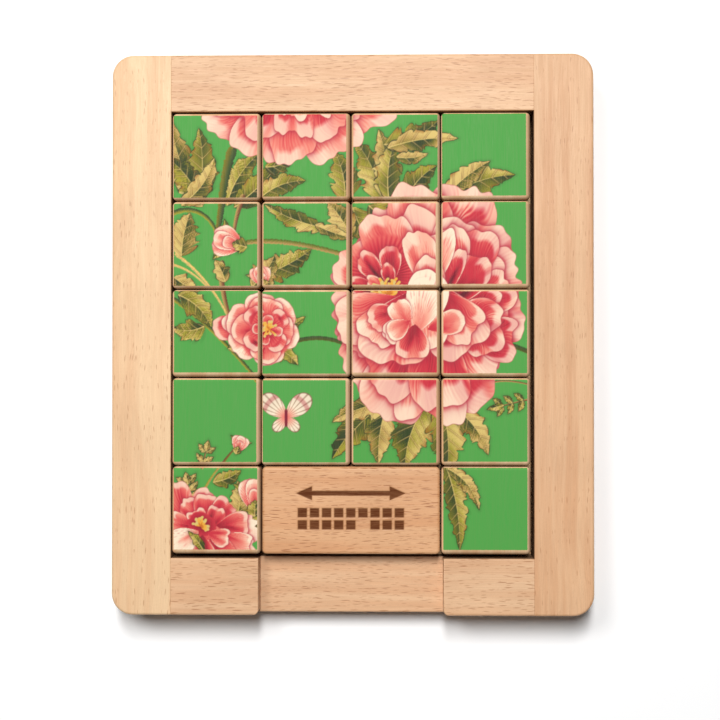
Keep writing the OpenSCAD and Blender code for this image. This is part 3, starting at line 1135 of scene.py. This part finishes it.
def corner_roses(sheet):
    """The rose in the lower left corner, with a rosebud behind it."""
    sprig(sheet, (0.22, 4.42), (0.16, 4.12), 4.0, DRY, 3)
    stem(sheet, [(0.3, 4.4), (0.4, 4.16), (0.54, 4.0)], 0.9, TAN, OLIVE)
    leaf(sheet, (0.46, 4.18), (0.78, 4.04), 0.14, 2.6, FRESH, 4)
    leaf(sheet, (0.72, 4.62), (0.74, 4.16), 0.14, 3.4, DRY, 5)
    leaf(sheet, (0.8, 4.72), (1.02, 4.54), 0.1, 2.2, FRESH, 4)
    stem(sheet, [(0.74, 4.72), (0.8, 4.62), (1.02, 4.54)], 0.9, LIME, PINE)
    bud(sheet, (0.94, 4.34), 5.4, -88)
    ring(sheet, (0.2, 4.72), 7, 13, 40, BLUSH, start=-10, ruffle=0.06)
    for aim, length in ((-8, 20), (16, 20), (40, 19), (-160, 12)):
        petal(sheet, (0.22, 4.78), aim, length, 24, WARM, ruffle=0.07, square=5)
    petals(
        sheet,
        (
            ((0.36, 4.7), -128, 10, 36, DEEP),
            ((0.36, 4.7), -88, 10, 40, DEEP),
            ((0.38, 4.7), -44, 11, 38, DEEP),
            ((0.3, 4.7), -165, 9, 34, BLUSH),
            ((0.34, 4.74), -108, 7, 46, BLUSH),
            ((0.4, 4.74), -60, 8, 42, DEEP),
        ),
        square=4,
    )
    hollow(sheet, (0.34, 4.66), 4.4, 3.4, [MAROON, CRIMSON, ROSE], 20)
    stamens(sheet, (0.33, 4.68), 2.6, 24, start=-60, sweep=220)
    petals(
        sheet,
        (
            ((0.5, 4.68), -4, 10, 44, BLUSH),
            ((0.56, 4.78), 30, 10, 44, WARM),
            ((0.44, 4.74), 62, 11, 44, BLUSH),
            ((0.4, 4.76), 20, 7, 46, WARM),
            ((0.34, 4.78), 84, 9, 44, BLUSH),
            ((0.3, 4.74), 148, 11, 50, SHELL),
        ),
        square=4,
    )
    leaf(sheet, (0.36, 4.98), (0.18, 4.74), 0.1, 1.6, FRESH, 3)


def paint_picture(cell, ground):
    """The whole sheet, from its ground up to its flowers."""
    sheet = Sheet(cell, ground)
    background_leaves(sheet)
    left_twigs(sheet)
    top_flower(sheet)
    bud(sheet, (0.64, 1.46), 5.0, 196)
    bud(sheet, (1.0, 1.86), 3.2, -110, WARM, DRY)
    lower_leaves(sheet)
    side_rose(sheet)
    big_peony(sheet)
    butterfly(sheet, (1.28, 3.44), 15)
    corner_roses(sheet)
    return sheet


# --- Operators ----------------------------------------------------------------------------------


class PUZZLE_OT_tray(bpy.types.Operator):
    """Shape the two stiles and the two rails with eased edges, and give each its own beech"""

    bl_idname = "puzzle.tray"
    bl_label = "Tray"

    def execute(self, context):
        sizes = context.scene.puzzle_tray
        low, high = CAD_BOX
        inner = (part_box("right_stile")[0].x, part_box("top_rail")[0].y)
        below = low.z - MM
        whole = rounded_box(low, high, sizes.corner)
        opening = rounded_box([-part for part in inner], inner)
        panel_low, panel_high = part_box("floor_panel")
        for name in ("left_stile", "right_stile", "bottom_rail", "top_rail"):
            plank = rounded_box(*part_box(name), 2 * sizes.joint_ease, 3)
            mesh = combine(
                prism(plank, low.z, high.z, ease=sizes.joint_ease),
                prism(whole, low.z, high.z, ease=sizes.outer_ease, foot=sizes.outer_ease),
                operation="INTERSECT",
            )
            mesh = combine(
                mesh,
                flared(opening, below, high.z, sizes.inner_ease),
                prism(rounded_box(panel_low, panel_high), below, panel_high.z),
            )
            if name == "bottom_rail":
                mesh = combine(mesh, self.notch(sizes), self.lip(sizes))
            self.finish(mesh, name, sizes)
        return {"FINISHED"}

    @staticmethod
    def notch_walls(sizes):
        """Where the two side walls of the notch stand: it is centred on the spacer block."""
        low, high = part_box("spacer_block")
        middle = (low.x + high.x) / 2
        return middle - sizes.notch_width / 2, middle + sizes.notch_width / 2

    def notch(self, sizes):
        """The air in the finger notch, with round corners at its mouth and a flared rim."""
        left, right = self.notch_walls(sizes)
        outer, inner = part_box("bottom_rail")[0].y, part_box("bottom_rail")[1].y
        radius = sizes.notch_corner
        outline = (
            [(left - radius, outer - MM), (right + radius, outer - MM)]
            + arc((right + radius, outer + radius), radius, 270, 180)
            + [(right, inner + MM), (left, inner + MM)]
            + arc((left - radius, outer + radius), radius, 0, -90)
        )
        rim = CAD_BOX[1].z
        return flared(outline, rim - sizes.notch_depth, rim, sizes.inner_ease)

    def lip(self, sizes):
        """What rounding takes off the outer lip of the notch's floor, lying along X."""
        left, right = self.notch_walls(sizes)
        outer = CAD_BOX[0].y
        floor = CAD_BOX[1].z - sizes.notch_depth
        radius = sizes.floor_ease
        outline = [(outer - MM, floor + MM), (outer - MM, floor - radius)]
        outline += arc((outer + radius, floor - radius), radius, 180, 90)
        outline += [(outer + radius, floor + MM)]
        beyond = sizes.notch_corner / 4
        mesh = prism(outline, left - beyond, right + beyond)
        mesh.transform(Matrix(((0, 0, 1, 0), (1, 0, 0, 0), (0, 1, 0, 0), (0, 0, 0, 1))))
        return mesh

    @staticmethod
    def finish(mesh, name, sizes):
        mesh = smooth_shaded(mesh)
        along = name.endswith("stile")
        light, dark, share = {
            "left_stile": (sizes.left_light, sizes.left_dark, 0.35),
            "right_stile": (sizes.right_light, sizes.right_dark, 0.25),
        }.get(name, (sizes.rail_light, sizes.rail_dark, 0.85))
        material = beech(
            name + "_beech",
            light,
            dark,
            sizes.fleck,
            turn=math.radians(90) if along else 0.0,
            shift=(0.0, 0.07 if name in ("top_rail", "right_stile") else 0.0, 0.013),
            # The walls round the tiles get painted shade
            walls=(sizes.wall_shade_colour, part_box("left_stile")[1].x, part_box("bottom_rail")[1].y),
            share=share,
            fleck_depth=0.5 if along else 0.68,
            reach=0.8 if along else 1.3,
        )
        mesh.materials.clear()
        mesh.materials.append(material)
        new_piece("shaped_" + name, mesh, "tray", name)


class PUZZLE_OT_floor(bpy.types.Operator):
    """Give the floor panel its plywood, with the face grain along the tray"""

    bl_idname = "puzzle.floor"
    bl_label = "Floor panel"

    def execute(self, context):
        material, net, shader = new_material("floor_plywood")
        place = grain_place(net, math.radians(90), (0.2, 0.0, 0.0))
        light, dark, fleck = linear("d9b587"), linear("c0966a"), linear("94663f")
        tone, grain = wood_colour(net, place, light, dark, fleck, share=0.3, band=9.0)
        where = net.add("ShaderNodeTexCoord").outputs["Object"]
        depth = net.add("ShaderNodeSeparateXYZ", Vector=where).outputs["Z"]
        low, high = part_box("floor_panel")
        layer = net.math("DIVIDE", net.math("SUBTRACT", depth, low.z), (high.z - low.z) / 3)
        middle = net.math("MULTIPLY", net.stretch(layer, 0.98, 1.02), net.stretch(layer, 2.02, 1.98))
        tone = net.mix(net.math("MULTIPLY", middle, 0.55), tone, linear("8a5f3c"))
        wood_finish(net, shader, tone, grain, roughness=0.62, bump=0.2)
        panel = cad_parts["floor_panel"]
        panel.data.materials.clear()
        panel.data.materials.append(material)
        return {"FINISHED"}


def dowel_tree(material):
    """Geometry nodes: a fluted dowel with chamfered ends on each point, lying along X."""
    tree = bpy.data.node_groups.new("fluted_dowels", "GeometryNodeTree")
    tree.interface.new_socket("Geometry", in_out="INPUT", socket_type="NodeSocketGeometry")
    for label, kind, default in (
        ("Radius", FLOAT, 2.5 * MM),
        ("Length", FLOAT, 24 * MM),
        ("Chamfer", FLOAT, 0.6 * MM),
        ("Flute depth", FLOAT, 0.18 * MM),
        ("Flutes", "NodeSocketInt", 16),
    ):
        tree.interface.new_socket(label, in_out="INPUT", socket_type=kind).default_value = default
    tree.interface.new_socket("Geometry", in_out="OUTPUT", socket_type="NodeSocketGeometry")
    net = Net(tree)
    given = tree.nodes.new("NodeGroupInput").outputs
    rod = net.add("GeometryNodeMeshCylinder", {"fill_type": "NGON"})
    net.feed(rod.inputs["Vertices"], net.math("MULTIPLY", given["Flutes"], 6.0))
    net.feed(rod.inputs["Side Segments"], 12)
    net.feed(rod.inputs["Radius"], given["Radius"])
    net.feed(rod.inputs["Depth"], given["Length"])
    place = net.add("GeometryNodeInputPosition").outputs[0]
    parts = net.add("ShaderNodeSeparateXYZ", Vector=place).outputs
    angle = net.math("ARCTAN2", parts["Y"], parts["X"])
    wave = net.math("COSINE", net.math("MULTIPLY", angle, given["Flutes"]))
    groove = net.stretch(wave, -0.2, -1.0, 0.0, 1.0, smooth=False)
    half = net.math("MULTIPLY", given["Length"], 0.5)
    from_end = net.math("SUBTRACT", half, net.math("ABSOLUTE", parts["Z"]))
    slope = net.math("MAXIMUM", net.math("SUBTRACT", given["Chamfer"], from_end), 0.0)
    lost = net.math("ADD", net.math("MULTIPLY", groove, given["Flute depth"]), slope)
    kept = net.math("DIVIDE", net.math("SUBTRACT", given["Radius"], lost), given["Radius"])
    spread = net.add("ShaderNodeCombineXYZ", X=kept, Y=kept, Z=1.0).outputs[0]
    shaped = net.add(
        "GeometryNodeSetPosition",
        Geometry=rod.outputs["Mesh"],
        Position=net.vector("MULTIPLY", place, spread),
    )
    copies = net.add(
        "GeometryNodeInstanceOnPoints",
        Points=given["Geometry"],
        Instance=shaped.outputs[0],
        Rotation=(0, math.pi / 2, 0),
    )
    real = net.add("GeometryNodeRealizeInstances", Geometry=copies.outputs[0])
    coated = net.add("GeometryNodeSetMaterial", Geometry=real.outputs[0], Material=material)
    net.add("NodeGroupOutput", Geometry=coated.outputs[0])
    return tree


class PUZZLE_OT_dowels(bpy.types.Operator):
    """Make the fluted dowels that pin each stile to its rails"""

    bl_idname = "puzzle.dowels"
    bl_label = "Corner dowels"

    def execute(self, context):
        sizes = context.scene.puzzle_tray
        material = beech("dowel_beech", linear("dcb184"), linear("c3946a"), sizes.fleck)
        mesh = bpy.data.meshes.new("dowel_points")
        mesh.from_pydata(self.centres(), [], [])
        holder = hold(mesh)
        step = holder.modifiers.new("dowels", "NODES")
        step.node_group = dowel_tree(material)
        low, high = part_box("corner_dowels")
        thick = high.z - low.z
        sockets = {
            item.name: item.identifier
            for item in step.node_group.interface.items_tree
            if item.in_out == "INPUT"
        }
        step[sockets["Radius"]] = thick / 2
        step[sockets["Length"]] = 2 * (high.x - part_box("right_stile")[0].x)
        step[sockets["Flute depth"]] = sizes.flute_depth
        step[sockets["Flutes"]] = sizes.flute_count
        mesh = settle(holder)
        new_piece("fluted_dowels", mesh, "tray", "corner_dowels")
        return {"FINISHED"}

    @staticmethod
    def centres():
        """The middle of each dowel, on the joint between stile and rail."""
        low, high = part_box("corner_dowels")
        thick = high.z - low.z
        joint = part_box("right_stile")[0].x
        rail_low, rail_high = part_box("top_rail")
        outer = high.y - thick / 2
        inner = rail_low.y + rail_high.y - outer
        return [
            (x, y, (low.z + high.z) / 2)
            for x in (-joint, joint)
            for y in (-outer, -inner, inner, outer)
        ]


def tile_material(sizes):
    """Bare beech round a printed face. The picture and its cover come with the mesh."""
    material, net, shader = new_material("printed_beech")
    place = grain_place(net, math.radians(90), (0.05, 0.0, 0.0))
    wood, grain = wood_colour(
        net, place, sizes.light, sizes.dark, linear("c08a5a"), share=0.35, fleck_depth=0.5, band=5.0
    )
    painted = net.add("ShaderNodeVertexColor", {"layer_name": "picture"})
    place_on = net.add("ShaderNodeTexCoord").outputs
    object_place = place_on["Object"]
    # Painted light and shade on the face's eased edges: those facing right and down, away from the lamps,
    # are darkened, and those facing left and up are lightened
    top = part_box(TILES[1, 1])[1].z
    height = net.add("ShaderNodeSeparateXYZ", Vector=object_place).outputs["Z"]
    at_edge = net.stretch(height, top - 2.2 * sizes.ease, top - 0.8 * sizes.ease)
    facing = net.vector("DOT_PRODUCT", place_on["Normal"], (0.7, -0.7, 0.0))
    edge_light_and_shade = net.mix(1.0, wood, net.stretch(facing, -0.5, 0.5, 1.25, 0.6), "MULTIPLY")
    wood = net.mix(at_edge, wood, edge_light_and_shade)
    film = use_group(
        net,
        "ink_film",
        Wood=wood,
        Ink=painted.outputs["Color"],
        Cover=painted.outputs["Alpha"],
        Fibre=grain["Fibre"],
        Vector=object_place,
    )
    wood_finish(net, shader, film["Color"], grain, roughness=0.55, bump=0.08)
    shader.inputs["Specular IOR Level"].default_value = 0.12
    return material


class PUZZLE_OT_tiles(bpy.types.Operator):
    """Paint the picture and print it on the loose tiles, a little out of place on each"""

    bl_idname = "puzzle.tiles"
    bl_label = "Picture tiles"

    def execute(self, context):
        sizes = context.scene.puzzle_tiles
        low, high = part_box(TILES[1, 1])
        cell = ((high.x - low.x) / MM, (high.y - low.y) / MM)
        ground = from_linear(np.array(sizes.ground[:3]) / INK_DEPTH)
        sheet = paint_picture(cell, ground)
        picture = INK_DEPTH * to_linear(np.clip(sheet.colour, 0, 1))
        front = tile_material(sizes)
        back = back_material(sizes)
        chance = np.random.default_rng(12)
        for (row, column), name in TILES.items():
            low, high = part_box(name)
            points, faces, painted = loaf(low, high, sizes.corner, sizes.ease, sizes.step)
            mesh = bpy.data.meshes.new("printed_" + name)
            mesh.from_pydata(points.tolist(), [], faces)
            drift = chance.uniform(-sizes.drift, sizes.drift, 4)
            colours = np.ones((len(points), 4), np.float32)
            colours[:, 3] = 0
            colours[:painted] = self.print_face(
                points[:painted], low, high, row, column, picture, sizes, drift
            )
            layer = mesh.color_attributes.new("picture", "FLOAT_COLOR", "POINT")
            layer.data.foreach_set("color", colours.ravel())
            mesh.materials.append(front)
            mesh.materials.append(back)
            mesh.polygons[len(faces) - 1].material_index = 1
            mesh.shade_smooth()
            piece = new_piece("printed_" + name, mesh, name, name)
            piece.data.update()
        return {"FINISHED"}

    @staticmethod
    def print_face(points, low, high, row, column, picture, sizes, drift):
        """Linear colour and cover of the print at each point of a tile's face."""
        across = (points[:, 0] - low.x) / MM
        down = (high.y - points[:, 1]) / MM
        wide, tall = (high.x - low.x) / MM, (high.y - low.y) / MM
        shift_x, shift_y, trim_x, trim_y = drift / MM
        x = ((column - 1) * wide + across - shift_x) * DOTS - 0.5
        y = ((row - 1) * tall + down - shift_y) * DOTS - 0.5
        x = np.clip(x, 0, picture.shape[1] - 1.001)
        y = np.clip(y, 0, picture.shape[0] - 1.001)
        left, top = x.astype(int), y.astype(int)
        part_x, part_y = (x - left)[:, None], (y - top)[:, None]
        upper = picture[top, left] * (1 - part_x) + picture[top, left + 1] * part_x
        lower = picture[top + 1, left] * (1 - part_x) + picture[top + 1, left + 1] * part_x
        colour_at = upper * (1 - part_y) + lower * part_y
        near, far = sizes.margin_near / MM, sizes.margin_far / MM
        inside = np.minimum(
            np.minimum(across - near - shift_x, wide - far + shift_x - trim_x - across),
            np.minimum(down - near - shift_y, tall - far + shift_y - trim_y - down),
        )
        cover = np.clip(inside / 0.3 + 0.5, 0, 1)
        return np.column_stack([colour_at, cover])


def back_material(sizes):
    """The print on a tile's underside: a plain ground with a quiet lattice of dots."""
    material, net, shader = new_material("printed_back")
    place = grain_place(net, math.radians(90), (0.05, 0.0, 0.0))
    where = net.add("ShaderNodeTexCoord").outputs["Object"]
    spaced = net.vector("MULTIPLY", where, (400, 400, 0))
    local = net.vector("SUBTRACT", net.vector("FRACTION", spaced), (0.5, 0.5, 0.0))
    away = net.vector("LENGTH", local)
    dot = net.stretch(away, 0.3, 0.24)
    ink = net.mix(dot, sizes.back, sizes.back_mark)
    light, dark = sizes.light, sizes.dark
    wood, grain = wood_colour(net, place, light, dark, linear("c08a5a"), share=0.35)
    film = use_group(
        net, "ink_film", Wood=wood, Ink=ink, Cover=1.0, Fibre=grain["Fibre"], Vector=where
    )
    wood_finish(net, shader, film["Color"], grain, roughness=0.45, bump=0.1)
    return material


def smooth(value):
    value = np.clip(value, 0, 1)
    return value * value * (3 - 2 * value)


def mark_cover(x, y, width):
    """How deep each point lies in the pictogram, in metres: positive inside it."""
    bar_y = width / 6.4
    head = width / 7
    tip = width / 2 - np.abs(x)
    arrow = np.minimum(tip * (width / 16) / head - np.abs(y - bar_y), head - tip)
    bar = np.minimum(width / 48 - np.abs(y - bar_y), width / 2 - head + 0.4 * MM - np.abs(x))
    inside = np.maximum(arrow, bar)
    count = 9
    step = width / count
    half = step * 0.37
    for i in range(count):
        for j in (0, 1):
            if (i, j) == (5, 1):
                continue
            off_x = np.abs(x - (i - (count - 1) / 2) * step)
            off_y = np.abs(y + j * step + step * 0.2)
            inside = np.maximum(inside, half - np.maximum(off_x, off_y))
    return inside


class PUZZLE_OT_block(bpy.types.Operator):
    """Shape the spacer block and burn the pictogram into its top"""

    bl_idname = "puzzle.block"
    bl_label = "Spacer block"

    def execute(self, context):
        sizes = context.scene.puzzle_block
        tiles = context.scene.puzzle_tiles
        low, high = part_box("spacer_block")
        step = sizes.mark_width / 190
        points, faces, top = loaf(low, high, tiles.corner, tiles.ease, step)
        middle_x, middle_y = (low.x + high.x) / 2, (low.y + high.y) / 2
        x, y = points[:top, 0] - middle_x, points[:top, 1] - middle_y
        inside = mark_cover(x, y, sizes.mark_width)
        margin = 2 * MM
        flat_x = np.abs(x) < (high.x - low.x) / 2 - margin
        flat = flat_x & (np.abs(y) < (high.y - low.y) / 2 - margin)
        burnt = np.where(flat, smooth(inside / (0.3 * MM) + 0.5), 0)
        halo = np.where(flat, smooth(inside / (0.9 * MM) + 0.75), 0)
        points[:top, 2] -= burnt * sizes.depth
        mesh = bpy.data.meshes.new("pressed_spacer_block")
        mesh.from_pydata(points.tolist(), [], faces)
        colours = np.zeros((len(points), 4), np.float32)
        colours[:top, 0] = burnt
        colours[:top, 1] = halo
        colours[:, 3] = 1
        layer = mesh.color_attributes.new("burn", "FLOAT_COLOR", "POINT")
        layer.data.foreach_set("color", colours.ravel())
        mesh.materials.append(self.material(sizes, context.scene.puzzle_tray))
        mesh.shade_smooth()
        new_piece("pressed_spacer_block", mesh, "spacer_block", "spacer_block")
        return {"FINISHED"}

    @staticmethod
    def material(sizes, tray):
        material, net, shader = new_material("block_beech")
        place = grain_place(net, 0.0, (0.31, 0.02, 0.0))
        tone, grain = wood_colour(
            net, place, sizes.light, sizes.dark, tray.fleck, share=0.9, fleck_depth=0.85, band=4.0
        )
        burn = net.add("ShaderNodeVertexColor", {"layer_name": "burn"})
        masks = net.add("ShaderNodeSeparateColor", Color=burn.outputs["Color"]).outputs
        uneven = net.noise(place, 900.0, 3.0)
        halo = net.math("MULTIPLY", masks["Green"], net.stretch(uneven, 0.3, 0.7, 0.25, 0.6))
        tone = net.mix(halo, tone, sizes.scorch)
        deep = net.math("MULTIPLY", masks["Red"], net.stretch(grain["Fibre"], 0.0, 1.0, 0.82, 1.0))
        tone = net.mix(deep, tone, sizes.burnt)
        wood_finish(net, shader, tone, grain)
        shine = net.math("MULTIPLY_ADD", masks["Red"], -0.32, 0.35)
        net.feed(shader.inputs["Specular IOR Level"], shine)
        return material


class PUZZLE_OT_stage(bpy.types.Operator):
    """Lay a plain pale floor, hang the lights and set the camera over the puzzle"""

    bl_idname = "puzzle.stage"
    bl_label = "Stage"

    def execute(self, context):
        sizes = context.scene.puzzle_stage
        scene = context.scene
        low, high = CAD_BOX
        self.floor(sizes, low.z)
        world = bpy.data.worlds.new("studio")
        world.use_nodes = True
        world.node_tree.nodes["Background"].inputs["Color"].default_value = (1, 1, 1, 1)
        world.node_tree.nodes["Background"].inputs["Strength"].default_value = sizes.fill
        scene.world = world
        self.lamp(scene, "key", sizes.key_power, 0.0, sizes.key_tilt, sizes.key_width, sizes.key_length)
        size = sizes.side_size
        self.lamp(scene, "side", sizes.side_power, math.radians(45), sizes.side_tilt, size, size)
        self.camera(scene, sizes, high.z)
        scene.view_settings.view_transform = "Standard"
        scene.view_settings.look = "None"
        return {"FINISHED"}

    @staticmethod
    def lamp(scene, name, power, azimuth, tilt, width, length, reach=1.1):
        """A soft box that hangs over the tray, leaning towards the plain rail and to the left."""
        data = bpy.data.lights.new(name, "AREA")
        data.shape = "RECTANGLE"
        data.size = width
        data.size_y = length
        data.energy = power
        lamp = bpy.data.objects.new(name, data)
        lamp.location = reach * Vector(
            (-math.sin(tilt) * math.sin(azimuth), math.sin(tilt) * math.cos(azimuth), math.cos(tilt))
        )
        lamp.rotation_euler = (-tilt, 0, azimuth)
        scene.collection.objects.link(lamp)

    @staticmethod
    def floor(sizes, level):
        half = 2.0
        mesh = bpy.data.meshes.new("floor")
        corners = [(x, y, level) for x, y in ((-half, -half), (half, -half), (half, half), (-half, half))]
        mesh.from_pydata(corners, [], [(0, 1, 2, 3)])
        material, net, shader = new_material("floor_paper")
        where = net.add("ShaderNodeTexCoord").outputs["Object"]
        cloud = net.noise(where, 6.0, 2.0)
        pale = net.mix(net.stretch(cloud, 0.3, 0.7), sizes.floor, linear("f9f9f9"))
        net.feed(shader.inputs["Base Color"], pale)
        shader.inputs["Roughness"].default_value = 0.9
        shader.inputs["Specular IOR Level"].default_value = 0.0
        mesh.materials.append(material)
        piece = bpy.data.objects.new("floor", mesh)
        bpy.context.scene.collection.objects.link(piece)

    @staticmethod
    def camera(scene, sizes, rim):
        data = bpy.data.cameras.new("camera")
        data.sensor_width = 36.0
        data.lens = data.sensor_width * sizes.distance / sizes.view_width
        data.clip_start = 0.01
        camera = bpy.data.objects.new("camera", data)
        aim = Vector((sizes.aim_x, sizes.aim_y, rim))
        camera.location = aim + Vector((sizes.step_x, sizes.step_y, sizes.distance))
        back = (camera.location - aim).normalized()
        across = Vector((0, 1, 0)).cross(back).normalized()
        camera.rotation_euler = Matrix((across, back.cross(across), back)).transposed().to_euler()
        scene.collection.objects.link(camera)
        scene.camera = camera


class PUZZLE_PT_panel(bpy.types.Panel):
    """Lists the operators in the order in which they run"""

    bl_idname = "PUZZLE_PT_panel"
    bl_label = "Sliding Picture Puzzle"
    bl_space_type = "VIEW_3D"
    bl_region_type = "UI"
    bl_category = "Puzzle"

    def draw(self, context):
        for step in STEPS:
            self.layout.operator(step.bl_idname)
        for name in PROPERTIES:
            group = getattr(context.scene, name)
            box = self.layout.box()
            box.label(text=group.bl_rna.description)
            for item in group.bl_rna.properties:
                if item.identifier not in ("rna_type", "name"):
                    box.prop(group, item.identifier)


PROPERTIES = {
    "puzzle_tray": PuzzleTray,
    "puzzle_tiles": PuzzleTiles,
    "puzzle_block": PuzzleBlock,
    "puzzle_stage": PuzzleStage,
}
STEPS = (
    PUZZLE_OT_stage,
    PUZZLE_OT_tray,
    PUZZLE_OT_floor,
    PUZZLE_OT_dowels,
    PUZZLE_OT_tiles,
    PUZZLE_OT_block,
)
CLASSES = (*PROPERTIES.values(), *STEPS, PUZZLE_PT_panel)


def register():
    for kind in CLASSES:
        bpy.utils.register_class(kind)
    for name, kind in PROPERTIES.items():
        setattr(bpy.types.Scene, name, bpy.props.PointerProperty(type=kind))


def unregister():
    for name in PROPERTIES:
        delattr(bpy.types.Scene, name)
    for kind in reversed(CLASSES):
        bpy.utils.unregister_class(kind)


def main():
    register()
    beech_grain_group()
    handling_group()
    ink_film_group()
    for step in STEPS:
        area, name = step.bl_idname.split(".")
        getattr(getattr(bpy.ops, area), name)()


if __name__ == "__main__":
    main()
